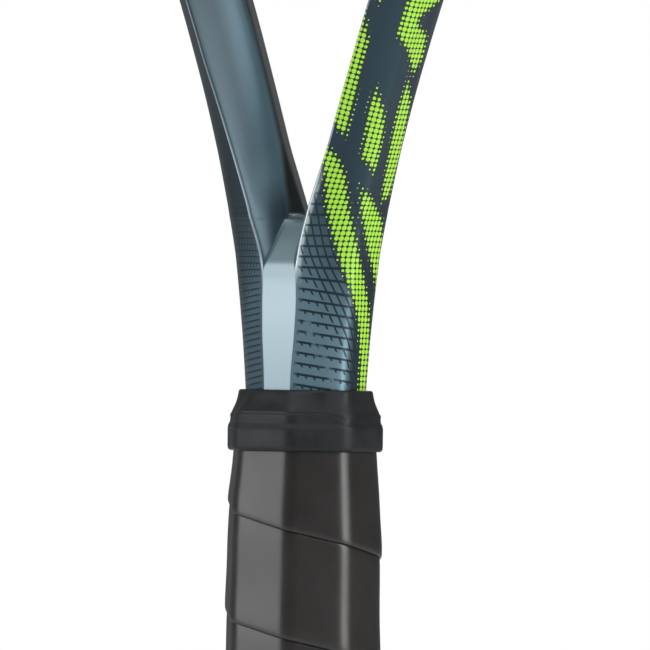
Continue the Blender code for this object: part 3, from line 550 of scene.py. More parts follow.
# %% Outlines of the stripes, (along, around)
STRIPES = {
    "lower": [(57.5, -1.5), (56.0, 1.2), (54.0, 3.9), (50.1, 6.7), (42.3, 10.0), (35.5, 13.5), (27.6, 17.2),
              (20.0, 19.6), (10.0, 21.2), (-4.0, 21.0), (-4.0, 17.0), (7.3, 17.0), (16.0, 15.3), (22.7, 12.6),
              (32.3, 9.1), (38.9, 5.6), (43.0, 3.6), (50.0, 1.0), (54.0, -1.2)],
    "lower_outer": [(49.0, 9.6), (40.6, 12.4), (34.2, 16.3), (29.3, 19.4), (22.0, 22.2), (26.0, 24.2),
                    (33.0, 24.0), (40.0, 20.6), (45.5, 14.6)],
    "inner": [(89.5, 0.2), (84.0, 1.8), (82.8, 2.9), (75.4, 2.9), (67.3, 3.5), (58.6, 4.0), (60.6, 0.4),
              (62.5, -0.9), (70.0, -1.2), (83.0, -1.0)],
    "middle": [(73.4, 6.8), (67.7, 6.2), (60.0, 7.2), (55.0, 7.8), (53.8, 9.7), (50.4, 12.8), (53.4, 13.0),
               (62.1, 12.2), (67.0, 10.8), (70.5, 8.6)],
    "outer": [(76.5, 15.0), (67.0, 14.2), (61.0, 14.8), (54.8, 15.5), (48.4, 16.7), (43.5, 18.4), (46.0, 21.0),
              (58.0, 20.8), (70.0, 18.8)],
    "notched": [(97.0, 8.2), (84.9, 7.9), (81.4, 12.2), (75.5, 16.8), (80.0, 19.0), (86.0, 18.0), (88.0, 14.0),
                (89.8, 13.4), (91.5, 16.0), (94.0, 19.0), (106.0, 21.0), (118.0, 19.0), (112.0, 12.5),
                (104.0, 9.4)],
    "upper": [(90.0, 2.2), (94.0, 0.6), (104.0, 0.9), (118.0, 2.6), (132.0, 5.4), (138.0, 8.0), (124.0, 7.4),
              (108.0, 5.4), (96.0, 4.0)],
    "top": [(126.0, 11.0), (133.0, 11.8), (146.0, 14.6), (158.0, 17.2), (166.0, 20.4), (150.0, 19.6),
            (138.0, 17.4), (129.0, 14.4)],
    "top_inner": [(142.0, 1.2), (150.0, 0.6), (162.0, 2.4), (176.0, 6.4), (186.0, 10.6), (172.0, 9.4),
                  (156.0, 5.8)],
}


def depth_inside(outline, at):
    """Signed distance of each point from an outline, positive inside."""
    nearest, crossings = np.full(len(at), 1e9), np.zeros(len(at), int)
    for (ax, ay), (bx, by) in zip(outline, outline[1:] + outline[:1]):
        side = np.array([bx - ax, by - ay])
        offset = at - np.array([ax, ay])
        t = np.clip(offset @ side / (side @ side), 0, 1)
        nearest = np.minimum(nearest, np.linalg.norm(offset - t[:, None] * side, axis=1))
        if ay != by:
            above = (ay > at[:, 1]) != (by > at[:, 1])
            crossings += above & (at[:, 0] < ax + (at[:, 1] - ay) * (bx - ax) / (by - ay))
    return np.where(crossings % 2 == 1, nearest, -nearest)


skin_place = np.stack([length, around], axis=1)
stripe = np.full(len(length), -4.0)
for outline in STRIPES.values():
    stripe = np.maximum(stripe, depth_inside(outline, skin_place))
stripe = np.clip(stripe, -3.0, 3.0)
print("stripes:", len(STRIPES), "on each side, over", int((stripe > 0).sum()), "points of the skin")

# %% [markdown]
# ## The net
#
# Beside the pale strip the paint is broken into small bricks by dark lines, like a net pulled to one side.
# Above, the net is whole. Lower down its cross lines shrink to short teeth that hang under the rows, and a
# slanting gap splits it. Rows and columns are lengths too: the distance across the rows, and the distance
# across the columns.

# %% Rows and columns of the net
w = from_front
slope = 0.14 * np.clip((30.0 - length) / 8.0, 0.0, 1.0)
net_row = length + slope * np.maximum(w, 0)
net_column = w + 0.47 * (length - 42.7)
whole = np.clip((net_column + 6.0) / 4.0, 0.0, 1.0)
gap_line = 1.8 + 0.52 * (18.0 - length)
in_gap = (np.abs(w - gap_line) < 0.8) & (length < 18.0) & ~far_side
finer = np.where(far_side, 1.7, 1.0)          # the net is finer on the side that is turned to the back
net_share = np.clip((50.0 - length) / 6.0, 0, 1) * np.clip((w - 0.3) / 0.5, 0, 1) * ~in_gap
store(racket, "skin", np.stack([length, around, w], axis=1))
# Distance past the nose of the inner side: painted light by the nose, and past it darker paint with painted
# shade
past_nose = (from_front - from_ridge[rung[:, 0], 0]) * np.where(far_side, 1, -1)
past_nose -= np.interp(length, [40.5, 47.5, 55.5], [2.3, 1.8, 0.0])
store(racket, "art", np.stack([stripe, net_share, past_nose], axis=1))
store(racket, "net", np.stack([net_row * finer, net_column * finer, whole], axis=1))
print("the net covers", int((net_share > 0).sum()), "points of the skin")

# %% [markdown]
# ## The frame's paint
#
# Rackets are finished with a metallic base coat, printed decals and a satin clear lacquer. The base coat
# changes along the tube: pale between the ridges of the shaft, grey-blue inside the fork, and dark slate
# outside. In the material, the lengths stored on the skin are read back first, and each area is a mask made
# from them.

# %% Lacquered metallic paint
# Flakes under a satin clear coat: a soft metallic sheen that follows the facets, and no sharp reflection
frame_paint, tree, shader = finish("Metallic_carbon_lacquer", Metallic=0.6, Roughness=0.36, Coat_Weight=0.35,
                                   Coat_Roughness=0.22)
read_back = {}
for name in ("skin", "art", "net"):
    attribute = add(tree, "Attribute", attribute_name=name)
    read_back[name] = add(tree, "SeparateXYZ", {0: attribute.outputs["Vector"]}).outputs
# Along the tube, around it, and the distance from the nearest ridge
paint_s, paint_a, paint_w = read_back["skin"]
stripe_in, net_in, nose_in = read_back["art"]
row_in, column_in, whole_in = read_back["net"]
print("the paint reads", ", ".join(read_back))

# %% [markdown]
# Coats are laid one over another, as in the spray booth. Each goes through a mask with soft edges, and a
# mask is the product of smooth steps, so that a coat can stop at a length along the tube and at a length
# round it.

# %% Masks and coats
def mask(*edges):
    """The product of smooth steps: each is a value, two lengths, and the share at both if not 0 and 1."""
    share = None
    for value, low, high, *shares in edges:
        first, last = shares or (0.0, 1.0)
        step = add(tree, "MapRange", {0: value, 1: low, 2: high, 3: first, 4: last},
                   interpolation_type="SMOOTHSTEP")
        if share is None:
            share = step
        else:
            share = add(tree, "Math", {0: share.outputs[0], 1: step.outputs[0]}, operation="MULTIPLY")
    return share.outputs[0]


def coat(under, over, *edges):
    """Lays one colour over another through the mask of these edges."""
    return add(tree, "Mix", {0: mask(*edges), 6: under, 7: over}, data_type="RGBA").outputs[2]


# The outer side darkens up the tube and towards its rounded side, and again round towards the back
fading = add(tree, "Math", {0: paint_w, 1: 1.2, 2: paint_s}, operation="MULTIPLY_ADD")
past_middle = add(tree, "Math", {0: paint_a, 1: paint_w}, operation="SUBTRACT")
outer_coat = coat(linear("6C8C9A"), linear("243D49"), (fading.outputs[0], 18.0, 56.0))
outer_coat = coat(outer_coat, linear("233945"), (paint_w, 12.5, 15.0))
outer_coat = coat(outer_coat, linear("12222C"), (past_middle.outputs[0], 0.0, 3.0, 0.0, 0.45))
print("outer side: four coats")

# %% [markdown]
# Inside the fork the tone is graded too: it darkens up the tube, painted light lightens it by the nose of the
# inner side, where the surface turns away from the lamps, and past the nose a dark coat is partly darker paint
# and partly painted shade from the other arm. The pale strip between the ridges runs up to the fork's floor and
# stops there, and where it bends back into the web it is darkened as painted shade.

# %% The inner sides and the pale strip
inner_coat = coat(linear("4D6571"), linear("21363F"), (paint_s, 28.0, 125.0))
# Painted light: the inner side is lightened by its nose, where the surface turns away from the lamps
painted_light_by_nose = coat(linear("86AAB9"), linear("3B5560"), (paint_s, 60.0, 125.0))
inner_coat = coat(inner_coat, painted_light_by_nose, (nose_in, 1.0, 8.5, 1.0, 0.0), (paint_s, 40.5, 50.0))
# Past the nose a dark coat: partly the darker paint of the inner side, partly painted shade where the other arm
# keeps the lamps off
inner_coat = coat(inner_coat, linear("1C272C"), (nose_in, -1.8, 1.0, 1.0, 0.0), (paint_s, 40.2, 42.0))
pale = coat(linear("8497A0"), linear("95A8B0"), (paint_s, 2.0, 26.0))
# Painted shade: the pale strip darkens where it bends back into the web at the fork
pale = coat(pale, linear("7F929B"), (paint_s, 24.0, 30.0))
painted_shade_on_web = coat(linear("879EA6"), linear("7A9097"), (paint_s, 31.0, 38.0))
pale = coat(pale, painted_shade_on_web, (paint_s, 29.6, 31.0))
strip_end = add(tree, "Math", {0: paint_s, 1: 0.73, 2: -20.6}, operation="MULTIPLY_ADD")
strip_end = add(tree, "Math", {0: paint_w, 1: strip_end.outputs[0]}, operation="ADD")
inner_coat = coat(inner_coat, pale, (strip_end.outputs[0], -0.4, 0.4, 1.0, 0.0),
                  (paint_s, 39.4, 40.4, 1.0, 0.0), (paint_w, -0.5, 0.1, 1.0, 0.0))
paint = coat(inner_coat, outer_coat, (paint_w, -0.25, 0.15))
print("both sides meet at the ridge")

# %% [markdown]
# Two painted highlights: a thin light line along the sharp ridges stands for the reflection that they catch.
# The arm at +X turns its edge to the lamps from the fork up, and a lighter tone stands for the gloss that it
# would show.

# %% The painted highlights on the ridges
off_ridge = add(tree, "Math", {0: paint_w}, operation="ABSOLUTE")
# Painted highlight: a thin light line along each ridge, strongest just above the fork
paint = coat(paint, linear("B4C5CC"), (off_ridge.outputs[0], 0.12, 0.4, 1.0, 0.0), (paint_s, 24.0, 30.0),
             (paint_s, 45.0, 75.0, 0.8, 0.35))
place_of = add(tree, "TexCoord")
side_of = add(tree, "SeparateXYZ", {0: place_of.outputs["Object"]})
# Painted highlight: a lighter band beside the ridge of the arm at +X, for the gloss that it would show
paint = coat(paint, linear("C9D8DC"), (paint_w, 0.8, 1.6, 1.0, 0.0), (paint_w, -0.25, 0.0),
             (paint_s, 24.0, 30.0), (paint_s, 42.0, 56.0, 0.85, 0.0), (side_of.outputs[0], -0.002, 0.002))
print("the light line is 0.8 mm wide")

# %% [markdown]
# The net and the dots are both patterns of equal steps. Going back and forth over half a pitch gives the
# distance from the nearest line or the nearest row of dots, with no jump between one step and the next.

# %% The net's lines
ROW_PITCH, ROW_LINE = 2.4, 0.27          # mm from line to line, and half a line's width
COLUMN_PITCH, COLUMN_LINE = 1.85, 0.23
LINE_EDGE = 0.1


def from_nearest(value, pitch):
    """Distance from the nearest of many places that lie one pitch apart."""
    above_zero = add(tree, "Math", {0: value, 1: 200 * pitch}, operation="ADD")
    return add(tree, "Math", {0: above_zero.outputs[0], 1: pitch / 2}, operation="PINGPONG").outputs[0]


to_row, to_column = from_nearest(row_in, ROW_PITCH), from_nearest(column_in, COLUMN_PITCH)
row_line = mask((to_row, ROW_LINE - LINE_EDGE, ROW_LINE + LINE_EDGE, 1.0, 0.0))
column_line = mask((to_column, COLUMN_LINE - LINE_EDGE, COLUMN_LINE + LINE_EDGE, 1.0, 0.0))
# A tooth hangs down from each row, longer where the net is whole
below = add(tree, "Math", {0: 500 * ROW_PITCH, 1: row_in}, operation="SUBTRACT")
below = add(tree, "Math", {0: below.outputs[0], 1: ROW_PITCH}, operation="DIVIDE")
below = add(tree, "Math", {0: below.outputs[0]}, operation="FRACT")
tooth_length = add(tree, "Math", {0: whole_in, 1: 0.75, 2: 0.3}, operation="MULTIPLY_ADD")
tooth = add(tree, "Math", {0: below.outputs[0], 1: tooth_length.outputs[0]}, operation="LESS_THAN")
teeth = add(tree, "Math", {0: column_line, 1: tooth.outputs[0]}, operation="MULTIPLY")
net_lines = add(tree, "Math", {0: row_line, 1: teeth.outputs[0]}, operation="MAXIMUM")
net_lines = add(tree, "Math", {0: net_lines.outputs[0], 1: net_in}, operation="MULTIPLY")
paint = add(tree, "Mix", {0: net_lines.outputs[0], 6: paint, 7: linear("18303B")}, data_type="RGBA").outputs[2]
print("net:", ROW_PITCH, "by", COLUMN_PITCH, "mm bricks")

# %% The stripes' dots
DOT_PITCH = 1.22              # mm between the dots of a stripe

squares = [add(tree, "Math", {0: from_nearest(value, DOT_PITCH), 1: 2.0}, operation="POWER")
           for value in (paint_s, paint_a)]
off_centre = add(tree, "Math", {0: squares[0].outputs[0], 1: squares[1].outputs[0]}, operation="ADD")
off_centre = add(tree, "Math", {0: off_centre.outputs[0]}, operation="SQRT")
# The deeper inside a stripe, the larger the dot
size_of = mask((stripe_in, -0.45, 1.4, 0.12, 0.56))
inside_dot = add(tree, "Math", {0: size_of, 1: off_centre.outputs[0]}, operation="SUBTRACT")
dot = mask((inside_dot.outputs[0], -0.04, 0.04), (stripe_in, -0.5, -0.2))
paint = coat(paint, linear("1E3A22"), (stripe_in, -0.5, 0.2, 0.0, 0.6))
ink = coat(linear("D9EBC4"), linear("B0F03A"), (stripe_in, -0.35, 0.4))
paint = add(tree, "Mix", {0: dot, 6: paint, 7: ink}, data_type="RGBA").outputs[2]
tree.links.new(paint, shader.inputs["Base Color"])
# Printing ink has no metal flakes
flakes = add(tree, "Math", {0: dot, 1: -0.6, 2: 0.6}, operation="MULTIPLY_ADD")
tree.links.new(flakes.outputs[0], shader.inputs["Metallic"])
print("paint:", len(tree.nodes), "nodes")
settle(racket, "racket_frame", frame_paint, "racket", nodes=["frame"])

# %% [markdown]
# ## The bridge
#
# The bridge closes the hoop across the throat. On the real racket it is a second short tube, bonded between
# the arms before the frame is baked, so its line is the hoop's own ellipse, and its ends lean against the
# arms. It is laid up in the same way as the frame, from sections of rounded corners, and gets the frame's
# paint.

# %% The bridge's sections
BRIDGE_HALF_DEPTH = 9.6
TUBE = 5.7                    # half the tube's width in the string plane
BOND_DEPTH = 0.25             # the bonded ends sink this far into the arms, so that no light shows between


def gap_to_arm(x, z):
    """Distance from a point between the arms to the inner side of the right arm."""
    foot = z
    for _ in range(12):
        middle, lean = arm(foot)
        foot += ((x - middle) * math.sin(lean) + (z - foot) * math.cos(lean)) * math.cos(lean)
    middle, lean = arm(foot)
    return -((x - middle) * math.cos(lean) - (z - foot) * math.sin(lean)) - read(ARM_ROWS, foot)[0]


def bridge_section(angle):
    x, z, lean = ellipse(angle)
    x = 0.0 if angle <= -90 else x
    outer = TUBE
    while angle > -80 and outer > -TUBE and (
            gap_to_arm(x + outer * math.cos(lean), z - outer * math.sin(lean)) < -BOND_DEPTH):
        outer -= 0.02
    thick = TUBE + outer
    ridge = -TUBE + 0.4 * thick
    corners = [(-TUBE, 0.0), (-TUBE, 1.7), (-TUBE, 4.6), (ridge, BRIDGE_HALF_DEPTH),
               (-TUBE + 0.82 * thick, BRIDGE_HALF_DEPTH * 0.8), (outer, 4.2), (outer, 1.7), (outer, 0.0)]
    return (x, z, lean), corners


bridge_rows, bridge_from_ridge = rows_of([bridge_section(a) for a in np.linspace(-90.0, -62.0, 44)],
                                         lambda z: [0.3, 1.6, 0.75, 2.0, 1.6, 0.4])
bridge, row_of, column_of = skin("racket_bridge", bridge_rows)
around = bridge_from_ridge[row_of, column_of]
length = 70.0 + 45.0 * (1 - row_of / 43)
store(bridge, "skin", np.stack([length, around, around], axis=1))
store(bridge, "art", np.stack([0 * around - 3, 0 * around, 0 * around], axis=1))
store(bridge, "net", np.zeros((len(around), 3)))
modify(bridge, "MIRROR", use_axis=(True, True, False), use_mirror_merge=True, merge_threshold=0.000004)
edge_loops_closed(bridge)
settle(bridge, "racket_bridge", frame_paint, "racket", nodes=["throat_bridge"])

# %% [markdown]
# ## The handle's octagon
#
# Under the grip the handle is a flattened octagon with eight bevels. A finer octagon is needed for the band
# and the collar, with its corners rounded by what is wrapped over them. The distance from the axis to the
# octagon is taken at each turn and averaged over a few degrees, which softens the corners just as a
# stretched band does.

# %% Distance from the axis, at each turn round the handle
HANDLE_X, HANDLE_Y, HANDLE_SIDE = 17.25, 15.75, 6.15
TURNS = 144                   # points round the handle


def octagon(inset):
    half_x, half_y = HANDLE_X - inset, HANDLE_Y - inset
    side = HANDLE_SIDE - inset * math.tan(math.radians(22.5))
    face = half_x - (half_y - side)
    quarter = [(face, -half_y), (half_x, -side), (half_x, side), (face, half_y)]
    return quarter + [(-x, -y) for x, y in quarter]


def reach(outline, turns, soften_degrees=0.0):
    """Distance from the axis to a convex outline at each turn."""
    around_turn = []
    for offset in np.radians(np.linspace(-soften_degrees, soften_degrees, 9 if soften_degrees else 1)):
        c, s = np.cos(turns + offset), np.sin(turns + offset)
        near = np.full(len(turns), 1e9)
        for (x0, y0), (x1, y1) in zip(outline, outline[1:] + outline[:1]):
            normal = (y1 - y0, x0 - x1)
            far = normal[0] * x0 + normal[1] * y0
            ahead = (normal[0] * c + normal[1] * s) / (far if abs(far) > 1e-9 else 1e-9)
            near = np.where(ahead > 1e-9, np.minimum(near, 1 / np.maximum(ahead, 1e-9)), near)
        around_turn.append(near)
    return np.mean(around_turn, axis=0)


def shaft_outline(z):
    """The shaft's whole section at height z, as a ring of points. Its hollow web is bridged."""
    _, corners = shaft_section(z)
    quarter = [(x, -depth) for x, depth in corners[3:-1]]
    half = quarter + [(x, -y) for x, y in reversed(quarter)]
    return half + [(-x, -y) for x, y in half]


print("reach at three turns:", np.round(reach(octagon(0.0), np.radians([0.0, 30.0, 90.0])), 1), "mm")

# %% [markdown]
# ## The grip band
#
# The grip is one long band of soft polyurethane, wound up the handle like a bandage. Each turn overlaps the
# edge of the turn below, and the covered edge lifts the new one. A cylinder with a spiral drawn on it would
# not show this. So the band is built as it is wound: a long grid whose rows climb the handle, with a
# profile across the band that ends in a small raised lip and tucks in under it. Neighbouring turns share
# their edge points, and two cuts with a plane trim the ends.

# %% The band's profile and the handle's flare
BAND_PITCH = 24.4             # mm from one turn to the next
SEAM_Z = 159.6                # height of a seam where it crosses the turn below
SEAM_TURN = math.radians(-52.0)
GRIP_LOW, GRIP_HIGH = 3.35, 181.5
# How far the handle's flats lie inside the octagon, by height: the butt end flares out
GRIP_INSET = np.array([(3.35, -1.2), (4.35, -1.6), (14.0, -1.6), (24.0, -1.45), (36.0, -0.9), (50.0, -0.25),
                       (62.0, 0.0), (158.0, 0.0), (168.0, 0.35), (176.0, 0.95), (181.5, 1.3)])
# Across the band, from its lower edge up: distance, and how proud it is of the handle
BAND_PROFILE = [(0.0, -0.30), (-0.05, 0.02), (0.12, 0.26), (0.45, 0.34), (1.2, 0.37), (2.6, 0.36), (4.4, 0.30),
                (6.5, 0.21), (9.0, 0.11), (12.0, 0.04), (15.0, 0.01), (18.0, 0.0), (20.5, -0.02), (22.6, -0.05),
                (23.7, -0.10), (24.2, -0.18), (BAND_PITCH, -0.30)]

turns_needed = int((GRIP_HIGH - GRIP_LOW) / BAND_PITCH) + 3
columns = turns_needed * TURNS + 1
angle = SEAM_TURN + np.arange(columns) * 2 * np.pi / TURNS
start_z = SEAM_Z + 2 * BAND_PITCH - BAND_PITCH * np.arange(columns) / TURNS
# The band bridges the corners and cushions the flats, which brings the octagon a little towards a circle
corner_reach = 0.94 * reach(octagon(0.0), angle, 6.0) + 0.06 * 19.5
inset_reach = corner_reach - reach(octagon(0.0), angle, 6.0) + reach(octagon(1.0), angle, 6.0)
band_rows = []
for step, proud in BAND_PROFILE:
    z = start_z + step
    inset = np.interp(z, GRIP_INSET[:, 0], GRIP_INSET[:, 1])
    calm = np.interp(z, [3.4, 12.0, 168.0, 177.0], [0.2, 1.0, 1.0, 0.1])
    radius = corner_reach + (inset_reach - corner_reach) * inset + proud * calm
    band_rows.append(np.stack([radius * np.cos(angle), radius * np.sin(angle), z], axis=1))
band_rows = np.array(band_rows)
print("band:", turns_needed, "turns of", round(2 * math.pi * 17), "mm each")

# %% [markdown]
# The profile's first and last points lie at the same depth, so merging doubles joins the turns. The wall
# gets its thickness last, after the ends are cut level.

# %% Wind it and trim it
grip, row_of, column_of = skin("grip_band", band_rows)
across_band = np.array([step for step, _ in BAND_PROFILE])[row_of]
store(grip, "band", np.stack([column_of * 108.0 / TURNS, across_band, 0 * across_band], axis=1))
pick(grip)
bpy.ops.object.mode_set(mode="EDIT")
bpy.ops.mesh.select_all(action="SELECT")
bpy.ops.mesh.remove_doubles(threshold=0.00002)
for height, clear_up in ((GRIP_LOW, False), (GRIP_HIGH, True)):
    bpy.ops.mesh.select_all(action="SELECT")
    bpy.ops.mesh.bisect(plane_co=(0, 0, height * MM), plane_no=(0, 0, 1), use_fill=False,
                        clear_inner=not clear_up, clear_outer=clear_up, threshold=0.000001)
bpy.ops.object.mode_set(mode="OBJECT")
pick(grip)
bpy.ops.object.mode_set(mode="EDIT")
bpy.ops.mesh.select_all(action="SELECT")
bpy.ops.mesh.normals_make_consistent(inside=False)
bpy.ops.object.mode_set(mode="OBJECT")
modify(grip, "SOLIDIFY", thickness=1.7 * MM, offset=-1.0, use_even_offset=False)
print("grip band:", [round(v / MM, 1) for v in grip.dimensions], "mm")

# %% [markdown]
# Polyurethane grips are matt to semi-gloss, tacky and very finely perforated or grained. Under a soft lamp
# the flats go brownish grey, and the corners keep a thin sheen where hands polish them. A fine grain in the
# bump breaks up the reflection, and slow noise varies the roughness as wear does.

# %% Grip finish
def grip_finish():
    made, tree, shader = finish("Worn_polyurethane_band", Roughness=0.42)
    shader.inputs["Specular IOR Level"].default_value = 0.8
    place = add(tree, "TexCoord")
    slow = add(tree, "TexNoise", {"Vector": place.outputs["Object"], "Scale": 60.0, "Detail": 3.0})
    tone = add(tree, "ValToRGB", {"Fac": slow.outputs["Fac"]})
    tone.color_ramp.elements[0].position, tone.color_ramp.elements[1].position = 0.3, 0.75
    tone.color_ramp.elements[0].color = linear("15110F")
    tone.color_ramp.elements[1].color = linear("1D1816")
    band = add(tree, "SeparateXYZ", {0: add(tree, "Attribute", attribute_name="band").outputs["Vector"]})
    # Painted shade: the band is darkened along its lower edge and where it tucks under the next turn, in the
    # seam's crease
    shade_at_seam = add(tree, "MapRange", {"Value": band.outputs[1], "From Min": 0.0, "From Max": 0.35, "To Min": 0.9,
                                  "To Max": 0.0}, interpolation_type="SMOOTHSTEP")
    shade_where_tucked = add(tree, "MapRange", {"Value": band.outputs[1], "From Min": BAND_PITCH - 0.5,
                                    "From Max": BAND_PITCH - 0.1, "To Min": 0.0, "To Max": 0.9})
    dark = add(tree, "Math", {0: shade_at_seam.outputs[0], 1: shade_where_tucked.outputs[0]}, operation="MAXIMUM")
    colour = add(tree, "Mix", {0: dark.outputs[0]}, data_type="RGBA")
    tree.links.new(tone.outputs["Color"], colour.inputs[6])
    colour.inputs[7].default_value = linear("120F0E")
    tree.links.new(colour.outputs[2], shader.inputs["Base Color"])
    gloss = add(tree, "MapRange", {"Value": slow.outputs["Fac"], "From Min": 0.3, "From Max": 0.7,
                                   "To Min": 0.30, "To Max": 0.38})
    tree.links.new(gloss.outputs[0], shader.inputs["Roughness"])
    # The band's grain is about 0.4 mm
    grain = add(tree, "TexVoronoi", {"Vector": place.outputs["Object"], "Scale": 2500.0})
    bump = add(tree, "Bump", {"Height": grain.outputs["Distance"], "Strength": 0.12, "Distance": 0.00006})
    tree.links.new(bump.outputs[0], shader.inputs["Normal"])
    return made


settle(grip, "grip_band", grip_finish(), "racket", nodes=["grip_wrap"], angle=28)

# %% [markdown]
# ## The collar
#
# The collar is a moulded rubber ring, stretched over the end of the band to hold it. It has a straight
# skirt, a small step, and a cone that closes on the shaft. Its outside starts as the handle's octagon and
# ends as the shaft's outline, and the mould adds a long raised panel at the front and the back. Rings at
# close heights give this form, and the wall's inside is the second half of the same rows.

# %% The collar's rings
collar_turn = np.append(np.radians(np.arange(192) * 360.0 / 192), 2 * np.pi)
# Height, inset of the octagon, share of the shaft's outline, and what is added all round
COLLAR_FORM = np.array([(178.2, 0.30, 0.0, 0.0), (178.35, 0.05, 0.0, 0.1), (178.7, 0.0, 0.0, 0.28),
                        (179.2, 0.0, 0.0, 0.35), (183.4, 0.0, 0.0, 0.35), (183.9, 0.0, 0.0, 0.2),
                        (184.5, 0.12, 0.0, 0.0), (185.3, 0.14, 0.0, 0.0), (186.4, 0.30, 0.0, 0.0),
                        (187.4, 0.50, 0.10, 0.10), (189.2, 0.85, 0.42, 0.55), (191.2, 1.1, 0.78, 1.15),
                        (191.7, 1.1, 0.88, 1.25), (191.95, 1.1, 0.93, 1.1), (192.0, 1.0, 1.0, 0.8)])
COLLAR_INSIDE = [(192.0, 1.0, 1.0, 0.7), (190.6, 1.0, 1.0, 0.7), (188.6, 2.1, 0.3, 0.2), (184.6, 1.1, 0.0, 0.0),
                 (182.4, 0.75, 0.0, 0.0), (178.2, 0.65, 0.0, 0.0)]
PANEL_LOW, PANEL_HIGH = 183.1, 187.4
PANEL_HALF_TURN = math.radians(72.0)


def panel_height(turns, z):
    """The raised rim and the plain sunken field of the panel: 0.1 mm proud and 0.06 mm deep."""
    off = np.abs((turns + math.pi / 2 + math.pi / 2) % math.pi - math.pi / 2)
    taper = np.clip((PANEL_HALF_TURN - off) / math.radians(16.0), 0, 1)
    middle = (PANEL_LOW + PANEL_HIGH) / 2
    half = (PANEL_HIGH - PANEL_LOW) / 2 * np.sqrt(taper)
    from_rim = half - abs(z - middle)
    rim = np.clip(1.5 - np.abs(from_rim - 0.25) / 0.18, 0, 1)
    field = np.clip((from_rim - 0.4) / 0.2, 0, 1)
    return (0.1 * rim - 0.06 * field) * (taper > 0.01)


def collar_ring(z, inset, share, extra, panel=False):
    wide = reach(octagon(inset), collar_turn, 5.0)
    slim = reach(shaft_outline(max(z, 191.0)), collar_turn, 2.0)
    radius = wide + (slim - wide) * share + extra
    if panel:
        radius = radius + panel_height(collar_turn, z)
    ring = [radius * np.cos(collar_turn), radius * np.sin(collar_turn), 0 * radius + z]
    return np.stack(ring, axis=1)


ring_heights = [178.2, 178.3, 178.45, 178.6, 178.9, 179.4, 180.4, 181.5, 182.4]
ring_heights += list(np.arange(182.7, 188.0, 0.14))
ring_heights += [188.4, 189.2, 190.2, 191.2, 191.5, 191.7, 191.85, 191.95, 192.0]
collar_rows = [collar_ring(z, *read(COLLAR_FORM, z, 0.12), panel=True) for z in ring_heights]
collar_rows += [collar_ring(*row) for row in COLLAR_INSIDE]
collar_rows.append(collar_rows[0])
collar, _, _ = skin("rubber_collar", np.array(collar_rows))
edge_loops_closed(collar)
print("collar:", len(collar_rows) - 1, "rings")

# %% [markdown]
# Moulded rubber is nearly black, with a slight blue cast and a dusty bloom that makes it matt. The mould's
# own texture is fine, so the bump is faint, and the roughness varies in soft patches where it has been
# handled.

# %% Collar finish
def rubber_finish():
    made, tree, shader = finish("Moulded_rubber_with_bloom", Roughness=0.5)
    shader.inputs["Specular IOR Level"].default_value = 0.4
    place = add(tree, "TexCoord")
    bloom = add(tree, "TexNoise", {"Vector": place.outputs["Object"], "Scale": 220.0, "Detail": 5.0})
    tone = add(tree, "ValToRGB", {"Fac": bloom.outputs["Fac"]})
    tone.color_ramp.elements[0].position, tone.color_ramp.elements[1].position = 0.35, 0.75
    tone.color_ramp.elements[0].color = linear("111416")
    tone.color_ramp.elements[1].color = linear("1B1F22")
    tree.links.new(tone.outputs["Color"], shader.inputs["Base Color"])
    gloss = add(tree, "MapRange", {"Value": bloom.outputs["Fac"], "From Min": 0.3, "From Max": 0.7,
                                   "To Min": 0.42, "To Max": 0.56})
    tree.links.new(gloss.outputs[0], shader.inputs["Roughness"])
    # Spark-eroded mould texture, about 0.2 mm
    grain = add(tree, "TexNoise", {"Vector": place.outputs["Object"], "Scale": 5000.0, "Detail": 2.0})
    bump = add(tree, "Bump", {"Height": grain.outputs["Fac"], "Strength": 0.25, "Distance": 0.00005})
    tree.links.new(bump.outputs[0], shader.inputs["Normal"])
    return made


settle(collar, "rubber_collar", rubber_finish(), "collar", nodes=["grip_collar"], angle=40)

# %% [markdown]
# ## The strings
#
# The racket has sixteen mains and nineteen crosses of polyester, 1.3 mm thick. Each cross passes over one
# main and under the next, so both bend a little at every crossing. Each string is a tube laid as rings
# along its path, and the bend is a smooth wave whose sign changes from one crossing to the next.

# %% String places
STRING_RADIUS = 0.65
WEAVE = 0.50                  # how far a string's middle leaves the middle plane at a crossing
MAIN_X = sorted([side * (9.9 * (i + 0.5) + 0.0184 * (i + 0.5) ** 3) for i in range(8) for side in (-1, 1)])
CROSS_Z = [644.5 - 13.5 * (18 - n) - 0.091 * (18 - n) ** 2 for n in range(19)]


def laid_tube(name, path, radius, sides=10):
    """A tube as rings along a path that stays near a plane."""
    path = np.array(path)
    ahead = np.gradient(path, axis=0)
    ahead /= np.linalg.norm(ahead, axis=1)[:, None]
    side = np.cross(ahead, np.array([0.0, 1.0, 0.0]))
    side /= np.linalg.norm(side, axis=1)[:, None]
    up = np.cross(side, ahead)
    turns = np.linspace(0, 2 * np.pi, sides + 1)
    rings = (path[:, None] + radius * (side[:, None] * np.cos(turns)[None, :, None]
                                       + up[:, None] * np.sin(turns)[None, :, None]))
    made, row, column = skin(name, rings)
    run = np.concatenate([[0.0], np.cumsum(np.linalg.norm(np.diff(path, axis=0), axis=1))])
    store(made, "string", np.stack([run[row], column / sides, 0.0 * row], axis=1))
    edge_loops_closed(made)
    return made


def weave_at(places, crossings, first_sign):
    """The wave of a woven string: full at each crossing, with alternating sign, and flat past the ends."""
    signs = [first_sign * (-1) ** k * WEAVE for k in range(len(crossings))]
    points = np.array([crossings[0] - 6.0] + list(crossings) + [crossings[-1] + 6.0])
    heights = np.array([0.0] + signs + [0.0])
    k = np.clip(np.searchsorted(points, places) - 1, 0, len(points) - 2)
    t = np.clip((places - points[k]) / (points[k + 1] - points[k]), 0, 1)
    t = (1 - np.cos(np.pi * t)) / 2
    return heights[k] + (heights[k + 1] - heights[k]) * t


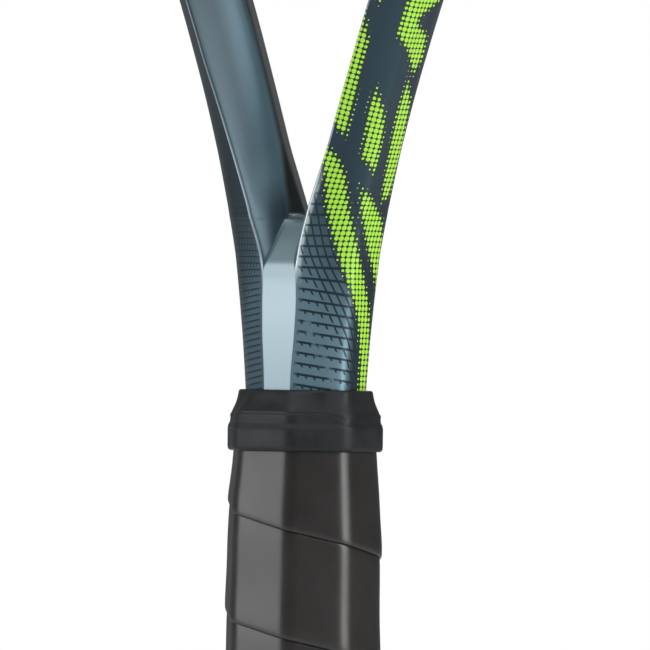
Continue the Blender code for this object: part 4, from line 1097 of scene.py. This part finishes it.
print("strings:", len(MAIN_X), "mains and", len(CROSS_Z), "crosses")

# %% [markdown]
# Polyester string is extruded, so it is smooth and a little glossy. This one is black with a faint violet-
# grey sheen, and where strings rub at the crossings the surface goes dull.

# %% String finish
def string_finish():
    made, tree, shader = finish("Extruded_polyester_string", Roughness=0.28, IOR=1.57)
    run = add(tree, "SeparateXYZ", {0: add(tree, "Attribute", attribute_name="string").outputs["Vector"]})
    place = add(tree, "TexCoord")
    rub = add(tree, "TexNoise", {"Vector": place.outputs["Object"], "Scale": 700.0, "Detail": 2.0})
    tone = add(tree, "ValToRGB", {"Fac": rub.outputs["Fac"]})
    tone.color_ramp.elements[0].color = linear("1A1B1E")
    tone.color_ramp.elements[1].color = linear("2C2E33")
    tree.links.new(tone.outputs["Color"], shader.inputs["Base Color"])
    gloss = add(tree, "MapRange", {"Value": rub.outputs["Fac"], "From Min": 0.35, "From Max": 0.7,
                                   "To Min": 0.22, "To Max": 0.4})
    tree.links.new(gloss.outputs[0], shader.inputs["Roughness"])
    # Draw lines of the extruder run along the string, about 0.3 mm apart
    lines = add(tree, "TexWave", {"Scale": 1.0, "Distortion": 0.0}, wave_type="BANDS")
    turned = add(tree, "Math", {0: run.outputs[1], 1: 14.0}, operation="MULTIPLY")
    tree.links.new(add(tree, "CombineXYZ", {0: turned.outputs[0]}).outputs[0], lines.inputs["Vector"])
    bump = add(tree, "Bump", {"Height": lines.outputs["Fac"], "Strength": 0.08, "Distance": 0.00005})
    tree.links.new(bump.outputs[0], shader.inputs["Normal"])
    return made


string_paint = string_finish()
print("string finish:", string_paint.name)

# %% [markdown]
# Mains are laid first and crosses after them, as a stringer works. Where the dampener sits, its two mains
# are straight, so that it can slide.

# %% Lay the mains, then the crosses
DAMPENER_SHIFT = -0.85        # the dampener holds its two mains this far forward, and the first cross


def forward(distance, fades_over):
    """How far a string near the dampener is drawn forward, fading smoothly over a range of distances."""
    share = np.interp(distance, fades_over, [1.0, 0.0])
    return DAMPENER_SHIFT * share * share * (3 - 2 * share)


for count, x in enumerate(MAIN_X):
    node = f"main_string_{count + 1:02d}"
    low, high = (corner.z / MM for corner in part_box(node))
    z = np.arange(low, high, 1.7)
    z = np.append(z[:-1], high)
    crossing = [h for h in CROSS_Z if low + 2 < h < high - 2]
    first = CROSS_Z.index(crossing[0])
    y = weave_at(z, crossing, 1 if (first + count) % 2 else -1)
    if abs(x) < 6:  # straight over the dampener's slide: the weave starts just below the first cross
        y *= np.interp(z, [CROSS_Z[0] - 2.8, CROSS_Z[0]], [0.0, 1.0])
        y += forward(z, [CROSS_Z[0], CROSS_Z[0] + 12.0])
    string = laid_tube(f"main_{count + 1:02d}", np.stack([0 * z + x, y, z], axis=1), STRING_RADIUS)
    settle(string, f"main_{count + 1:02d}", string_paint, "racket", nodes=[node], angle=50)

for count, z in enumerate(CROSS_Z):
    node = f"cross_string_{count + 1:02d}"
    low, high = (corner.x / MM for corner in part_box(node))
    x = np.append(np.arange(low, high, 1.3)[:-1], high)
    crossing = [m for m in MAIN_X if low + 1.5 < m < high - 1.5]
    first = MAIN_X.index(crossing[0])
    y = weave_at(x, crossing, -1 if (first + count) % 2 else 1)
    y = y + forward(np.abs(x), [6.0, 14.0]) * (count == 0)
    string = laid_tube(f"cross_{count + 1:02d}", np.stack([x, y, 0 * x + z], axis=1), STRING_RADIUS)
    settle(string, f"cross_{count + 1:02d}", string_paint, "racket", nodes=[node], angle=50)

# %% [markdown]
# ## The small moulded pieces
#
# The guards, grommet strips, butt cap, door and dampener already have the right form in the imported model,
# but with knife-sharp edges that no mould could make. Each is copied, its loose triangles are merged into
# one skin, and a small bevel rounds its edges, wide enough to catch the light. The copy then stands for the
# original.

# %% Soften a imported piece
def softened(node, name, width, material, body, segments=2, angle=30):
    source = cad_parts[node]
    deselect()
    copy = source.copy()
    copy.data = source.data.copy()
    bpy.context.scene.collection.objects.link(copy)
    copy.parent = None
    for key in list(copy.keys()):
        if key.startswith("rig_"):
            del copy[key]
    pick(copy)
    bpy.ops.object.mode_set(mode="EDIT")
    bpy.ops.mesh.select_all(action="SELECT")
    bpy.ops.mesh.remove_doubles(threshold=0.000005)
    bpy.ops.mesh.dissolve_limited(angle_limit=math.radians(1.0))
    bpy.ops.object.mode_set(mode="OBJECT")
    modify(copy, "BEVEL", width=width * MM, segments=segments, limit_method="ANGLE",
           angle_limit=math.radians(angle), use_clamp_overlap=True, harden_normals=False)
    modify(copy, "TRIANGULATE")
    return settle(copy, name, material, body, nodes=[node], angle=35)

# %% [markdown]
# Grommets and the guard are moulded nylon: tough, slightly translucent and never quite glossy. Fine random
# scratches show on a guard that has met the court. The cap's plastic is an ABS with a spark-eroded grain,
# and the dampener is silicone, which is soft to look at because light travels a little way into it.

# %% Finishes of the small pieces
def moulded(name, dark, light, roughness, grain_mm, strength, **sockets):
    """A moulded material with slow colour variation and a grain of the given real size."""
    made, tree, shader = finish(name, Roughness=roughness, **sockets)
    place = add(tree, "TexCoord")
    slow = add(tree, "TexNoise", {"Vector": place.outputs["Object"], "Scale": 150.0, "Detail": 4.0})
    tone = add(tree, "ValToRGB", {"Fac": slow.outputs["Fac"]})
    tone.color_ramp.elements[0].position, tone.color_ramp.elements[1].position = 0.35, 0.7
    tone.color_ramp.elements[0].color = linear(dark)
    tone.color_ramp.elements[1].color = linear(light)
    tree.links.new(tone.outputs["Color"], shader.inputs["Base Color"])
    gloss = add(tree, "MapRange", {"Value": slow.outputs["Fac"], "From Min": 0.3, "From Max": 0.7,
                                   "To Min": roughness - 0.06, "To Max": roughness + 0.08})
    tree.links.new(gloss.outputs[0], shader.inputs["Roughness"])
    per_metre = 1000.0 / grain_mm
    grain = add(tree, "TexNoise", {"Vector": place.outputs["Object"], "Scale": per_metre, "Detail": 2.0})
    bump = add(tree, "Bump", {"Height": grain.outputs["Fac"], "Strength": strength, "Distance": 0.00005})
    tree.links.new(bump.outputs[0], shader.inputs["Normal"])
    return made


nylon = moulded("Moulded_nylon", "141618", "1E2123", 0.42, 0.3, 0.2, IOR=1.53)
abs_plastic = moulded("Grained_ABS", "131314", "1C1C1E", 0.44, 0.35, 0.35, IOR=1.54)
silicone = moulded("Dyed_silicone", "7FC622", "98DE35", 0.48, 0.5, 0.15, IOR=1.41, Subsurface_Weight=0.25,
                   Subsurface_Scale=0.002)
foam = moulded("Cast_polyurethane_foam", "B89C6B", "CDB489", 0.75, 0.25, 0.8)
tape = moulded("Vinyl_tape", "151517", "202022", 0.38, 0.6, 0.15)
steel = moulded("Drawn_steel_wire", "9A9B9D", "B4B5B7", 0.3, 0.4, 0.1, Metallic=1.0)
lead = moulded("Cast_lead", "5E6065", "777A80", 0.5, 0.6, 0.4, Metallic=1.0)
print("finishes:", ", ".join(made.name for made in (nylon, abs_plastic, silicone, foam, tape, steel, lead)))

# %% [markdown]
# The bevel is wider on the soft dampener than on the thin nylon strips, which would lose their shape.

# %% Soften them
softened("bumper_guard", "head_guard", 0.35, nylon, "racket")
softened("grommet_strip_left", "grommets_left", 0.25, nylon, "racket")
softened("grommet_strip_right", "grommets_right", 0.25, nylon, "racket")
softened("bridge_grommet_strip", "grommets_bridge", 0.2, nylon, "racket")
softened("butt_cap", "cap_of_butt", 0.25, abs_plastic, "racket")
softened("butt_cap_door", "door_of_butt", 0.15, abs_plastic, "butt_door")
softened("string_dampener", "dampener_button", 0.5, silicone, "dampener", segments=3,
         angle=20)

# %% [markdown]
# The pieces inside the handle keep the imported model's form. They are only seen when the handle is opened,
# but each still gets the finish of its own material.

# %% Finishes for what is carried over
CARRIED = {"pallet_front": foam, "pallet_back": foam, "finishing_tape": tape, "door_hinge_pin": steel,
           "balance_weight_left": lead, "balance_weight_right": lead}
for node, finish_of_it in CARRIED.items():
    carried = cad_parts[node]
    carried.data.materials.clear()
    carried.data.materials.append(finish_of_it)
print("carried over:", ", ".join(CARRIED))
